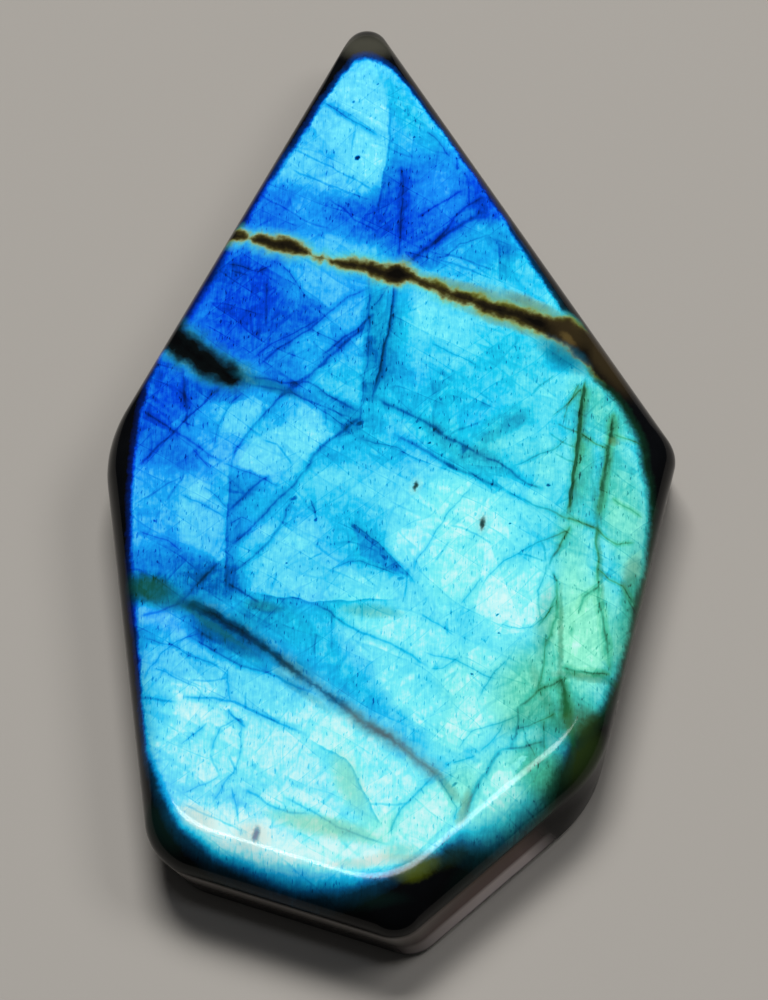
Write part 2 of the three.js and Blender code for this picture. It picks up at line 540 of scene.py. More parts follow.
# Where the flash ends, anticlockwise from the right: x, y and over how many millimetres it fades.
FLASH_EDGE = [
    (12.6, -1.25, 0.5), (12.4, 0.25, 0.5), (11.9, 1.6, 0.5), (11.25, 2.9, 0.4), (10.35, 3.8, 0.3),
    (10.0, 4.1, 0.3), (9.85, 4.7, 0.4), (9.7, 5.8, 0.7), (9.35, 7.0, 0.6), (8.6, 8.05, 0.3),
    (8.0, 9.15, 0.25), (7.12, 10.75, 0.25), (6.54, 11.8, 0.25), (5.95, 13.15, 0.25), (5.1, 14.5, 0.25),
    (3.65, 16.9, 0.25), (3.15, 17.8, 0.25), (2.15, 19.3, 0.25), (1.15, 20.85, 0.25), (0.7, 21.5, 0.25),
    (0.1, 22.25, 0.25), (-0.5, 22.75, 0.3), (-1.25, 23.0, 0.35), (-1.95, 22.85, 0.3), (-3.35, 20.55, 0.3),
    (-4.2, 19.05, 0.35), (-5.1, 17.35, 0.4), (-6.07, 15.75, 0.4), (-7.13, 13.72, 0.4), (-7.65, 12.65, 0.4),
    (-8.65, 10.75, 0.5), (-9.3, 9.25, 0.5), (-10.0, 7.95, 0.6), (-10.8, 6.4, 0.6), (-11.6, 5.6, 0.4),
    (-12.25, 3.8, 0.25), (-12.55, 2.6, 0.22), (-12.8, 1.05, 0.22), (-13.0, -1.75, 0.22),
    (-13.0, -4.55, 0.22), (-12.9, -6.3, 0.3), (-12.75, -7.8, 0.6), (-12.6, -9.1, 0.4), (-12.5, -10.3, 0.25),
    (-12.35, -12.35, 0.25), (-12.15, -14.35, 0.3), (-11.85, -16.35, 0.5), (-11.5, -17.4, 0.6),
    (-11.1, -18.4, 0.7), (-10.75, -19.3, 0.7), (-10.2, -20.2, 0.7), (-9.3, -21.0, 0.8), (-8.4, -21.7, 0.8),
    (-7.6, -22.1, 0.9), (-6.6, -22.6, 0.9), (-5.5, -23.05, 0.9), (-4.4, -23.35, 1.0), (-3.1, -23.35, 1.1),
    (-2.0, -23.25, 1.1), (-0.7, -22.9, 0.9), (0.3, -22.55, 0.6), (1.0, -22.2, 0.5), (2.0, -21.75, 0.7),
    (2.6, -21.2, 0.9), (3.3, -21.0, 1.2), (4.0, -20.95, 1.6), (4.7, -20.75, 1.9), (5.4, -20.45, 2.0),
    (6.5, -19.6, 2.0), (7.4, -18.4, 1.8), (8.05, -17.0, 1.3), (8.6, -15.8, 0.7), (9.4, -15.0, 0.6),
    (10.1, -14.25, 0.6), (10.65, -13.15, 0.6), (11.1, -12.25, 0.5), (11.5, -10.8, 0.5), (11.85, -9.6, 0.5),
    (12.15, -8.3, 0.5), (12.4, -7.3, 0.5), (12.6, -6.3, 0.5), (12.8, -4.75, 0.5), (12.9, -3.25, 0.5),
]

# Soft zones of the flash: x, y, half length, half width, turn in degrees, light, hue, strength.
ZONES = [
    # the pointed end
    (-1.75, 19.5, 4.8, 2.0, 82, 0.78, 0.27, 0.95),
    (0.7, 19.85, 3.0, 0.7, -58, 0.66, 0.40, 0.90),
    (-4.65, 16.9, 3.0, 1.3, 62, 0.68, 0.22, 0.90),
    (-1.45, 17.3, 1.3, 1.9, 0, 0.82, 0.36, 0.70),
    (2.3, 17.1, 1.6, 1.0, -50, 0.61, 0.14, 0.80),
    # deep blue above the brown vein
    (-5.65, 13.8, 2.6, 1.7, -15, 0.44, 0.02, 0.95),
    (-4.05, 13.45, 1.1, 1.2, 0, 0.66, 0.06, 0.80),
    (-1.45, 13.15, 2.4, 1.4, -10, 0.38, 0.02, 0.95),
    (0.8, 13.45, 1.4, 3.4, 0, 0.37, 0.02, 0.95),
    (2.6, 14.2, 3.2, 2.6, 60, 0.48, 0.00, 0.95),
    (2.7, 14.7, 1.3, 1.3, 0, 0.58, 0.00, 0.75),
    (4.9, 14.1, 1.8, 0.8, -58, 0.30, 0.00, 0.85),
    (1.9, 11.85, 1.4, 1.2, 0, 0.42, 0.05, 0.85),
    (4.4, 11.45, 2.4, 1.2, 28, 0.61, 0.22, 0.85),
    (7.05, 10.05, 1.6, 2.0, -58, 0.66, 0.42, 0.90),
    (-6.65, 11.45, 1.4, 0.7, -20, 0.58, 0.12, 0.80),
    # deep blue left, under the brown vein
    (-7.5, 8.25, 3.6, 2.6, 60, 0.35, 0.00, 0.98),
    (-8.4, 10.05, 1.2, 0.9, 30, 0.36, 0.10, 0.80),
    (-3.05, 9.15, 2.6, 1.5, -15, 0.62, 0.14, 0.90),
    (-4.95, 7.3, 1.9, 1.2, 35, 0.38, 0.08, 0.85),
    (-6.45, 6.1, 1.6, 1.1, 30, 0.43, 0.06, 0.80),
    (-4.05, 5.3, 2.2, 1.3, 40, 0.58, 0.18, 0.85),
    (-2.45, 3.6, 1.8, 1.3, 20, 0.65, 0.42, 0.85),
    # the middle, under the brown vein
    (-0.7, 5.4, 0.8, 4.6, 0, 0.42, 0.44, 0.90),
    (0.4, 5.4, 0.8, 3.0, 0, 0.49, 0.42, 0.80),
    (3.2, 6.1, 3.2, 2.2, -15, 0.74, 0.46, 0.95),
    (6.25, 5.0, 2.4, 1.6, -30, 0.60, 0.52, 0.90),
    (3.4, 3.1, 2.4, 1.5, 20, 0.57, 0.52, 0.80),
    (7.85, 3.2, 2.2, 2.2, 40, 0.68, 0.56, 0.85),
    (10.95, 2.0, 1.0, 1.8, 20, 0.66, 0.80, 0.90),
    (9.55, -0.05, 0.6, 3.8, 4, 0.60, 0.84, 0.85),
    (11.7, -3.85, 1.0, 3.4, 3, 0.71, 0.90, 0.88),
    # the left shoulder
    (-12.1, 1.8, 1.3, 3.6, 12, 0.46, 0.02, 0.98),
    (-9.5, 1.8, 1.8, 1.7, 30, 0.54, 0.10, 0.90),
    (-7.3, 2.1, 1.9, 1.3, 30, 0.66, 0.26, 0.90),
    (-4.65, 0.75, 2.8, 1.7, 30, 0.77, 0.30, 0.90),
    (-1.85, 1.15, 1.6, 1.5, 0, 0.52, 0.44, 0.85),
    (1.0, 2.1, 2.6, 1.3, -28, 0.65, 0.46, 0.80),
    (3.8, -0.15, 2.6, 1.1, -32, 0.54, 0.64, 0.80),
    (5.65, 1.15, 1.8, 0.9, 35, 0.50, 0.66, 0.70),
    (7.25, -0.35, 2.4, 1.3, -25, 0.74, 0.60, 0.85),
    (-11.1, -0.15, 2.2, 1.1, -30, 0.47, 0.08, 0.90),
    (-11.6, -3.55, 1.9, 2.3, 0, 0.63, 0.16, 0.95),
    (-9.4, -4.15, 1.2, 2.4, 15, 0.74, 0.26, 0.85),
    (-10.9, -6.6, 2.8, 1.2, -15, 0.39, 0.22, 0.95),
    (-12.0, -7.8, 1.6, 0.9, -10, 0.16, 0.75, 0.90),
    (-9.3, -7.5, 1.6, 0.9, -20, 0.34, 0.40, 0.80),
    # the middle
    (-7.6, -2.65, 1.8, 1.2, -45, 0.50, 0.30, 0.85),
    (-5.75, -3.25, 1.6, 1.3, -30, 0.51, 0.34, 0.80),
    (-2.95, -1.95, 2.6, 1.8, -10, 0.69, 0.42, 0.90),
    (-0.6, -0.15, 1.4, 1.0, -30, 0.56, 0.44, 0.70),
    (1.2, -3.85, 2.2, 2.8, 35, 0.77, 0.43, 0.95),
    (-1.85, -5.1, 3.0, 1.3, -48, 0.60, 0.46, 0.85),
    (-5.25, -6.3, 2.4, 2.0, 20, 0.75, 0.38, 0.90),
    (-1.65, -7.6, 2.4, 1.0, -8, 0.74, 0.40, 0.80),
    (-0.95, -9.2, 2.6, 0.9, -6, 0.62, 0.66, 0.80),
    (-5.45, -9.5, 3.2, 1.2, -25, 0.53, 0.50, 0.85),
    (3.8, -3.85, 2.6, 2.4, -30, 0.92, 0.54, 0.92),
    (3.6, -7.1, 3.0, 1.8, 20, 0.90, 0.54, 0.90),
    (6.45, -8.5, 2.4, 1.9, 40, 0.92, 0.58, 0.90),
    (1.6, -10.9, 4.6, 2.4, -35, 0.84, 0.46, 0.90),
    (4.4, -13.35, 3.0, 2.4, 30, 0.84, 0.62, 0.90),
    (12.0, -9.3, 0.9, 3.2, -13, 0.60, 0.96, 0.88),
    (8.95, -5.7, 0.9, 2.4, 0, 0.70, 0.86, 0.85),
    (9.2, -10.3, 1.9, 3.2, 0, 0.78, 1.0, 0.97),
    (7.0, -13.3, 2.0, 2.6, -20, 0.68, 1.0, 0.94),
    (9.05, -14.75, 1.3, 1.4, 0, 0.52, 1.0, 0.85),
    # lighter and darker places between them
    (0.9, -13.6, 2.0, 1.2, -42, 0.87, 0.48, 0.88),
    (-8.2, -7.1, 1.2, 1.3, 0, 0.35, 0.40, 0.80),
    (-8.0, -4.9, 0.8, 1.3, 0, 0.50, 0.30, 0.75),
    (-6.7, -9.2, 1.0, 0.7, 0, 0.43, 0.48, 0.75),
    (-10.4, 3.2, 0.8, 0.9, 0, 0.24, 0.02, 0.75),
    (-6.7, 0.8, 0.8, 0.9, 0, 0.60, 0.30, 0.70),
    (0.8, -5.4, 1.0, 1.0, 0, 0.87, 0.44, 0.75),
    (9.5, 1.4, 0.6, 1.1, 0, 0.62, 0.56, 0.85),
    (12.0, -8.0, 0.7, 1.0, -10, 0.44, 0.96, 0.75),
    (4.5, 15.6, 0.7, 0.9, 30, 0.34, 0.0, 0.70),
    (2.0, 18.2, 0.9, 0.7, -55, 0.68, 0.28, 0.75),
    (2.0, 10.8, 0.9, 0.6, 0, 0.42, 0.14, 0.75),
    (8.7, 5.2, 0.9, 1.0, -35, 0.45, 0.50, 0.80),
    (-11.6, 4.3, 0.9, 0.9, 0, 0.28, 0.10, 0.80),
    (-8.6, 3.3, 2.4, 0.7, -8, 0.36, 0.14, 0.75),
    (-2.4, -0.4, 1.6, 0.8, 10, 0.53, 0.40, 0.80),
    (3.2, 0.8, 1.2, 0.7, -30, 0.66, 0.52, 0.80),
    (-5.6, 4.4, 1.2, 1.0, 35, 0.44, 0.12, 0.80),
    (-5.7, 2.2, 1.0, 0.8, 30, 0.56, 0.24, 0.70),
    (5.8, 12.0, 1.2, 0.7, -55, 0.44, 0.30, 0.80),
    (-7.0, -6.2, 0.8, 1.5, 10, 0.60, 0.32, 0.75),
    # the dark healed seam
    (-3.1, -11.85, 3.2, 0.9, -42, 0.60, 0.46, 0.85),
    (-8.3, -10.5, 2.6, 0.9, -38, 0.28, 0.42, 0.85),
    # the lower left
    (-9.6, -15.6, 2.6, 3.8, 8, 0.90, 0.38, 0.95),
    (-11.7, -13.8, 1.1, 2.2, 5, 0.64, 0.36, 0.80),
    (-11.9, -10.4, 1.2, 0.8, -10, 0.50, 0.28, 0.85),
    (-10.7, -11.55, 1.8, 1.2, -20, 0.70, 0.28, 0.80),
    (-6.25, -13.15, 3.2, 1.3, -35, 0.77, 0.40, 0.80),
    (-5.45, -16.85, 3.6, 2.4, -25, 0.88, 0.42, 0.90),
    (-2.05, -16.25, 2.8, 1.4, -40, 0.92, 0.52, 0.90),
    (-1.85, -18.4, 0.9, 1.7, 25, 0.88, 0.74, 0.75),
    # the rows at light 1.0 here run along the near shoulder: flash with a painted highlight of the overhead
    # light laid over it
    (-7.3, -20.8, 3.4, 1.3, -18, 1.0, 0.40, 0.95),
    (-3.45, -20.3, 2.6, 0.8, -15, 0.86, 0.80, 0.80),
    (-2.45, -21.8, 3.2, 0.9, -5, 1.0, 0.60, 0.95),
    (1.3, -19.9, 1.7, 2.0, -35, 0.95, 0.64, 0.92),
    (5.2, -18.0, 2.8, 1.6, 42, 0.89, 0.74, 0.92),
    (3.4, -15.55, 1.6, 1.2, 30, 0.89, 0.62, 0.75),
    (-0.1, -18.2, 1.6, 1.3, -30, 0.93, 0.52, 0.85),
    (-0.5, -20.5, 1.2, 0.9, 0, 0.93, 0.80, 0.80),
    (-4.5, -19.2, 2.4, 0.7, -8, 0.94, 0.48, 0.80),
    (7.2, -17.4, 1.3, 1.5, 40, 0.54, 1.0, 0.90),
    (3.2, -18.3, 0.8, 1.3, -15, 0.80, 0.90, 0.60),
    (1.2, -14.1, 1.2, 0.7, -42, 0.92, 0.50, 0.80),
]

# Panes with crisp edges: corners, light, hue, strength and over how many millimetres an edge goes.
PANES = [
    ([(-5.65, 10.65), (-1.15, 9.35), (-2.95, 7.85), (-4.25, 8.55)], 0.66, 0.14, 0.55, 0.10),
    ([(-11.6, 5.0), (-10.6, 4.7), (-10.3, 2.0), (-11.5, 1.05), (-12.6, 1.7)], 0.36, 0.0, 0.60, 0.10),
    ([(-8.2, 2.5), (-7.0, 3.0), (-6.05, 2.3), (-7.2, 0.75), (-8.7, 0.85)], 0.76, 0.22, 0.55, 0.10),
    ([
        (-7.8, -0.95), (-7.0, 0.45), (-5.05, 1.6), (-2.65, 0.75), (-5.05, -1.25), (-6.55, -1.65),
    ], 0.80, 0.30, 0.50, 0.12),
    ([(-10.9, -3.65), (-9.6, -2.35), (-8.3, -3.95), (-8.3, -6.1), (-8.7, -6.4)], 0.72, 0.16, 0.60, 0.10),
    ([(-12.9, -3.25), (-10.6, -3.45), (-10.5, -5.7), (-12.7, -4.75)], 0.54, 0.08, 0.50, 0.10),
    ([(-7.1, -8.0), (-4.05, -8.5), (-4.05, -5.8), (-5.75, -4.75)], 0.74, 0.28, 0.50, 0.10),
    ([
        (3.6, -8.6), (6.3, -6.3), (8.1, -5.4), (8.15, -8.4), (7.2, -9.9), (6.2, -10.4),
    ], 0.91, 0.52, 0.45, 0.20),
    ([(9.05, -8.1), (10.25, -8.1), (10.45, -12.15), (8.85, -12.1)], 0.78, 0.94, 0.60, 0.10),
    ([
        (-1.95, -4.25), (-0.85, -5.2), (0.0, -6.1), (0.9, -7.3), (0.3, -7.0), (-1.55, -6.3),
    ], 0.50, 0.28, 0.60, 0.12),
    ([
        (-4.6, -10.6), (-2.6, -12.0), (-1.5, -13.4), (-1.3, -14.1), (-2.4, -13.9), (-4.9, -12.0),
    ], 0.55, 0.36, 0.70, 0.35),
    ([(-3.55, 21.95), (-0.3, 21.45), (-0.1, 17.9), (-0.45, 14.9), (-4.45, 17.9)], 0.84, 0.28, 0.45, 0.10),
    ([(3.9, -16.35), (6.35, -16.65), (7.25, -15.95), (4.4, -19.8)], 0.92, 0.66, 0.50, 0.10),
    ([
        (0.3, -19.6), (1.6, -18.3), (2.3, -17.9), (3.0, -19.6), (1.2, -21.8), (-0.3, -21.0),
    ], 0.94, 0.60, 0.55, 0.10),
]

# What a crack does to the light across it, from its right side to its left side as it is followed.
CRACK_KINDS = {
    "hair": [(-0.09, 0.0), (0.0, -0.18), (0.09, 0.0)],
    "fine": [(-0.22, 0.0), (-0.06, -0.09), (0.0, -0.25), (0.06, -0.09), (0.22, 0.0)],
    "plain": [(-0.34, 0.0), (-0.10, -0.12), (0.0, -0.33), (0.10, -0.12), (0.34, 0.0)],
    "strong": [(-0.46, 0.0), (-0.15, -0.15), (-0.02, -0.37), (0.02, -0.37), (0.15, -0.15), (0.46, 0.0)],
    "shade right": [(-1.30, 0.0), (-0.14, -0.13), (0.0, -0.26), (0.08, 0.03), (0.40, 0.02), (0.80, 0.0)],
    "shade left": [(-0.80, 0.0), (-0.40, 0.02), (-0.08, 0.03), (0.0, -0.26), (0.14, -0.13), (1.30, 0.0)],
    "soft right": [(-1.00, 0.0), (-0.06, -0.13), (0.06, 0.0)],
    "soft left": [(-0.06, 0.0), (0.06, -0.13), (1.00, 0.0)],
    "band": [(-0.45, 0.0), (-0.20, -0.15), (0.20, -0.15), (0.45, 0.0)],
}

# Each crack's kind and the places along it.
CRACKS = [
    # the pointed end
    ("band", [(-3.65, 20.55), (-2.95, 20.05), (-2.05, 19.3), (-0.5, 18.3), (0.1, 18.1)]),
    ("fine", [(-3.55, 20.35), (-2.95, 19.9), (-2.05, 19.15), (-0.6, 18.2)]),
    ("soft right", [(-4.35, 19.3), (-3.65, 18.2), (-3.05, 17.3), (-2.65, 16.7)]),
    ("hair", [(-5.25, 17.5), (-4.05, 16.9), (-2.95, 16.2), (-1.05, 15.0), (-0.6, 14.75)]),
    ("hair", [(-5.35, 16.3), (-3.05, 15.2), (-0.95, 14.25)]),
    ("soft left", [(-0.15, 21.45), (-0.1, 17.9), (-0.35, 15.9), (-0.8, 12.85)]),
    ("hair", [(-0.1, 19.95), (-0.1, 17.9), (-0.35, 15.9), (-0.8, 12.85)]),
    ("fine", [(1.9, 18.6), (2.5, 17.9), (2.8, 17.3), (3.2, 16.8)]),
    ("plain", [(3.45, 17.0), (3.4, 16.2)]),
    ("fine", [(0.8, 20.15), (0.95, 19.4)]),
    ("hair", [(-1.85, 19.0), (-2.1, 17.2)]),
    # above the brown vein
    ("band", [(0.75, 16.8), (0.6, 14.9), (0.65, 12.85), (0.5, 11.45)]),
    ("fine", [(0.6, 16.5), (0.5, 12.85), (0.35, 10.45)]),
    ("plain", [(1.3, 13.25), (2.0, 13.8), (3.0, 14.5), (3.8, 15.1)]),
    ("strong", [(0.3, 10.35), (1.0, 10.75), (2.0, 11.65), (3.0, 12.45), (3.6, 12.95), (4.9, 13.8)]),
    ("plain", [(2.0, 11.65), (2.9, 12.65), (3.2, 13.25), (4.0, 14.1), (4.9, 14.8)]),
    ("hair", [(2.2, 10.95), (2.9, 11.05), (3.5, 11.75), (4.1, 11.95), (5.2, 12.35)]),
    ("hair", [(2.3, 10.85), (3.8, 10.35), (5.3, 9.65)]),
    ("hair", [(2.6, 11.25), (4.2, 10.65), (5.45, 10.15)]),
    ("soft right", [(5.55, 9.55), (5.55, 12.05)]),
    ("hair", [(5.55, 9.55), (5.55, 11.85)]),
    ("hair", [(-7.0, 14.9), (-5.45, 13.8), (-4.15, 12.95), (-2.95, 12.55)]),
    ("hair", [(-3.25, 14.5), (-1.85, 13.15), (-0.6, 12.45)]),
    # left, under the brown vein
    ("fine", [(-8.5, 10.65), (-7.6, 10.45), (-6.85, 10.15), (-6.05, 10.55)]),
    ("hair", [(-8.3, 10.25), (-7.3, 9.95)]),
    ("fine", [(-5.65, 10.65), (-4.25, 8.55)]),
    ("hair", [(-6.45, 9.55), (-6.35, 6.8)]),
    ("fine", [(-1.05, 9.45), (-0.4, 9.65), (0.2, 9.95)]),
    ("fine", [(-0.1, 9.35), (-0.5, 8.65), (-0.95, 8.05)]),
    ("plain", [
        (-1.05, 9.25), (-2.25, 8.55), (-3.25, 7.65), (-4.25, 6.7), (-5.35, 5.9), (-6.25, 5.2), (-7.2, 4.3),
    ]),
    ("fine", [(-3.65, 7.4), (-4.85, 6.6), (-6.05, 5.9), (-7.2, 5.0)]),
    ("fine", [(-4.15, 6.8), (-2.65, 5.9)]),
    ("strong", [
        (-1.25, 7.3), (-1.55, 6.8), (-2.25, 6.0), (-3.05, 5.2), (-4.05, 4.2), (-5.05, 3.4), (-5.85, 2.6),
    ]),
    ("plain", [(-5.05, 3.4), (-6.15, 2.2), (-7.1, 1.05), (-7.8, -0.05), (-8.1, -1.25)]),
    ("plain", [(-0.85, 7.65), (-1.95, 6.6), (-2.65, 6.0), (-3.65, 5.1)]),
    ("shade left", [(-8.1, -0.85), (-8.15, -3.75), (-8.25, -5.5), (-8.2, -7.3), (-8.25, -8.4)]),
    ("fine", [(-7.5, 3.2), (-8.0, 2.7), (-8.3, 2.1), (-8.8, 1.05), (-9.0, -0.25)]),
    ("plain", [
        (-8.5, 3.6), (-9.2, 2.9), (-9.9, 2.1), (-10.8, 1.05), (-11.7, 0.15), (-12.5, -0.75), (-13.0, -1.25),
    ]),
    ("plain", [(-10.6, 4.8), (-10.5, 3.3), (-10.3, 2.0), (-10.2, 0.65)]),
    ("plain", [(-12.6, 2.2), (-11.9, 1.7), (-10.8, 0.85), (-9.9, 0.25), (-9.0, -0.45), (-8.3, -0.85)]),
    ("fine", [(-8.5, -0.85), (-7.1, -1.45), (-5.55, -2.25)]),
    ("fine", [(-10.0, -0.05), (-9.1, -1.15)]),
    ("hair", [(-6.45, 0.45), (-5.75, 0.15), (-5.35, -0.45), (-4.95, -1.05)]),
    # the two upright seams under the junction
    ("fine", [
        (-1.15, 10.45), (-1.15, 5.8), (-1.25, 4.8), (-1.4, 3.8), (-1.5, 2.8), (-1.55, 1.3), (-1.6, 0.15),
    ]),
    ("shade left", [
        (0.2, 9.65), (0.0, 7.85), (-0.1, 6.8), (-0.3, 6.0), (-0.5, 4.8), (-0.7, 3.8), (-1.0, 2.7),
    ]),
    ("plain", [(0.15, 9.75), (0.0, 7.85), (-0.3, 6.0), (-0.7, 3.8), (-1.0, 2.7)]),
    ("band", [(-1.05, 6.4), (-1.05, 5.0)]),
    ("band", [(-1.1, 3.7), (-1.15, 2.5)]),
    # the slanting cracks of the middle
    ("strong", [(-1.45, 1.7), (-2.55, 0.85), (-3.35, 0.15), (-3.95, -0.45), (-4.35, -1.45)]),
    ("plain", [(-4.15, -1.05), (-4.95, -2.15), (-5.55, -2.75), (-6.45, -3.85), (-7.3, -4.75), (-8.2, -5.8)]),
    ("plain", [(-7.5, 4.2), (-5.65, 3.7), (-4.25, 3.7), (-3.55, 3.2), (-2.55, 2.5), (-1.45, 1.9)]),
    ("plain", [(-7.1, 3.6), (-5.05, 3.1), (-4.05, 2.6), (-2.35, 1.75), (-1.65, 1.5)]),
    ("band", [(-5.45, 3.6), (-3.25, 2.7), (-1.45, 1.8)]),
    ("fine", [(-4.25, 2.7), (-3.45, 2.0), (-2.25, 1.05)]),
    ("fine", [(-3.35, 2.2), (-3.35, 1.15)]),
    ("strong", [(-0.85, 2.9), (0.0, 2.3), (1.0, 1.8), (2.0, 1.15), (2.6, 0.65), (4.0, -0.15), (5.0, -0.65)]),
    ("plain", [(4.6, -0.45), (6.05, -1.35), (6.85, -2.05), (7.75, -2.35)]),
    ("strong", [
        (-0.1, 0.8), (1.0, 0.25), (2.0, -0.45), (3.0, -1.05), (4.0, -1.55), (5.0, -2.05), (6.05, -2.65),
    ]),
    ("plain", [(5.75, -2.45), (7.05, -3.15), (8.25, -3.65), (8.95, -4.05)]),
    ("fine", [(-1.55, 0.45), (0.2, -0.05), (2.0, -1.05)]),
    ("plain", [(-6.05, -1.55), (-6.65, -1.95), (-7.3, -2.65), (-8.2, -3.55)]),
    ("fine", [(-7.0, -4.15), (-7.5, -3.85), (-8.1, -4.25)]),
    ("plain", [(-4.85, -2.85), (-5.25, -3.45), (-5.45, -4.25), (-6.05, -5.2), (-6.85, -6.1), (-7.8, -6.8)]),
    ("fine", [(-4.05, -3.05), (-3.85, -3.45), (-3.75, -4.15)]),
    # upper right
    ("fine", [(2.0, 5.95), (3.0, 5.4), (4.0, 4.9), (4.4, 4.55)]),
    ("soft left", [(2.0, 3.9), (2.1, 0.65)]),
    ("shade left", [(9.85, 4.2), (9.65, 2.8), (9.4, 0.75), (9.25, -0.25), (9.05, -1.75), (8.75, -3.85)]),
    ("strong", [(9.8, 4.1), (9.65, 2.8), (9.4, 0.75), (9.25, -0.25), (9.05, -1.75), (8.8, -4.05)]),
    ("strong", [(11.2, 2.2), (11.05, 0.95), (10.85, -0.05), (10.65, -1.25), (10.4, -2.75), (10.25, -4.25)]),
    ("plain", [
        (10.25, -3.95), (10.2, -5.3), (10.25, -6.3), (10.2, -7.3), (10.25, -8.3), (10.45, -9.8),
        (10.75, -12.25),
    ]),
    ("soft left", [(11.15, 2.0), (10.85, -0.05), (10.45, -2.75), (10.25, -5.3)]),
    ("fine", [(9.55, 0.85), (10.15, 0.35), (10.85, -0.05)]),
    ("fine", [(11.15, 0.85), (12.3, 0.35), (13.0, -0.2)]),
    ("fine", [(9.55, 3.7), (8.85, 2.4), (8.7, 1.4)]),
    ("fine", [(9.65, 3.4), (8.05, 1.7)]),
    ("hair", [(8.35, 4.2), (7.05, 3.0)]),
    ("hair", [(8.35, 1.35), (9.45, 0.8)]),
    ("fine", [(8.95, 0.65), (8.05, -0.15), (7.05, -0.55), (6.05, -1.15)]),
    ("hair", [(7.95, 0.8), (9.25, 0.0)]),
    ("hair", [(8.15, -0.3), (9.15, -0.8)]),
    ("hair", [(2.9, 0.7), (4.6, 1.55)]),
    ("band", [(4.4, 0.35), (5.55, 0.95), (6.85, 1.9)]),
    # right
    ("plain", [(8.75, -3.9), (9.45, -4.15), (10.25, -4.5)]),
    ("fine", [(10.15, -4.45), (10.55, -4.85), (11.25, -5.3), (12.2, -5.2)]),
    ("fine", [(10.25, -6.65), (10.75, -7.2), (11.45, -7.5), (12.1, -8.4)]),
    ("fine", [(10.95, -2.8), (11.9, -3.35), (12.6, -3.8)]),
    ("fine", [
        (8.95, -4.45), (8.25, -4.85), (7.25, -5.3), (6.35, -5.8), (5.55, -6.3), (4.8, -7.1), (4.2, -8.2),
    ]),
    ("plain", [(8.95, -4.25), (8.35, -5.5), (7.95, -6.1), (7.75, -6.8)]),
    ("plain", [(7.8, -6.6), (8.15, -7.3), (8.2, -8.3), (8.15, -9.3), (7.55, -10.9)]),
    ("hair", [(7.55, -5.2), (7.65, -6.3)]),
    ("hair", [(6.15, -5.85), (7.65, -6.25)]),
    ("fine", [(7.75, -6.3), (7.55, -7.1), (7.25, -7.9), (7.35, -9.7)]),
    ("fine", [(8.15, -8.1), (7.75, -9.0), (7.15, -10.0)]),
    ("plain", [(10.25, -7.6), (9.55, -8.2), (9.15, -9.2)]),
    ("fine", [(5.2, -9.7), (6.25, -10.0), (6.95, -9.9), (7.55, -9.3), (8.1, -8.5)]),
    ("plain", [(8.25, -12.05), (9.05, -12.25), (10.85, -12.25)]),
    # the middle below
    ("soft right", [(-2.05, -4.15), (-0.85, -5.2), (0.0, -6.1), (0.8, -7.1), (1.3, -7.7)]),
    ("fine", [(-2.05, -4.15), (-0.85, -5.2), (0.0, -6.1), (0.8, -7.1), (1.3, -7.7)]),
    ("fine", [(4.1, -2.15), (3.2, -3.15), (2.7, -3.85), (2.3, -4.55), (1.9, -5.3), (1.3, -6.2), (1.0, -7.1)]),
    ("hair", [(2.9, -5.2), (2.4, -6.0), (2.1, -6.4)]),
    ("hair", [(0.8, -6.7), (0.6, -8.4)]),
    ("fine", [(-3.05, -6.8), (-2.05, -6.3), (-1.55, -6.3), (0.4, -7.05)]),
    ("hair", [(-4.15, -6.25), (-3.45, -5.9)]),
    ("hair", [(2.9, -4.3), (4.0, -4.75), (5.1, -5.45)]),
    ("fine", [(3.4, -8.7), (4.2, -7.6), (4.6, -7.1)]),
    ("shade right", [(-6.75, -8.1), (-5.55, -8.3), (-4.55, -8.4), (-3.95, -8.6), (-2.55, -8.5), (0.4, -8.4)]),
    ("plain", [
        (-3.95, -8.6), (-3.05, -9.1), (-2.45, -9.7), (-1.55, -10.2), (0.0, -10.8), (1.0, -11.45),
        (2.0, -12.25),
    ]),
    ("fine", [(1.9, -12.15), (2.5, -12.15), (3.3, -11.55)]),
    ("fine", [(1.4, -9.15), (2.3, -9.8), (3.1, -10.4)]),
    ("hair", [(2.7, -9.4), (2.7, -10.4)]),
    ("fine", [(1.5, -11.25), (3.1, -11.65), (4.0, -12.15), (5.3, -12.8)]),
    ("fine", [(-1.45, -8.6), (-1.45, -9.7)]),
    ("fine", [(-2.95, -9.2), (-3.0, -11.25)]),
    ("fine", [(-3.75, -10.2), (-3.8, -11.45)]),
    # left
    ("hair", [(-12.9, -3.15), (-12.1, -2.65), (-11.3, -1.95), (-10.5, -1.6)]),
    ("hair", [(-11.3, -2.95), (-10.7, -1.95), (-10.3, -1.35)]),
    ("fine", [(-10.6, -2.6), (-9.8, -2.95), (-9.0, -3.45), (-8.2, -3.9)]),
    ("fine", [(-9.4, -2.15), (-8.7, -2.85), (-8.1, -3.45)]),
    ("fine", [(-12.7, -4.55), (-11.1, -5.15), (-10.4, -5.8)]),
    ("plain", [(-8.5, -6.3), (-9.4, -7.3), (-10.1, -8.1), (-10.6, -8.7)]),
    ("plain", [(-10.4, -8.55), (-11.4, -8.9), (-12.5, -9.3)]),
    ("plain", [(-8.1, -7.4), (-7.1, -8.2), (-6.45, -8.65)]),
    # the lower left
    ("fine", [
        (-12.2, -12.65), (-11.9, -11.95), (-11.4, -11.35), (-10.8, -10.8), (-10.2, -10.5), (-9.3, -10.15),
    ]),
    ("fine", [(-12.3, -10.4), (-10.8, -10.8), (-10.0, -11.35), (-9.0, -11.75), (-8.0, -12.3)]),
    ("plain", [
        (-10.0, -10.3), (-9.0, -11.0), (-7.4, -11.95), (-6.35, -12.25), (-5.35, -12.75), (-3.35, -13.65),
    ]),
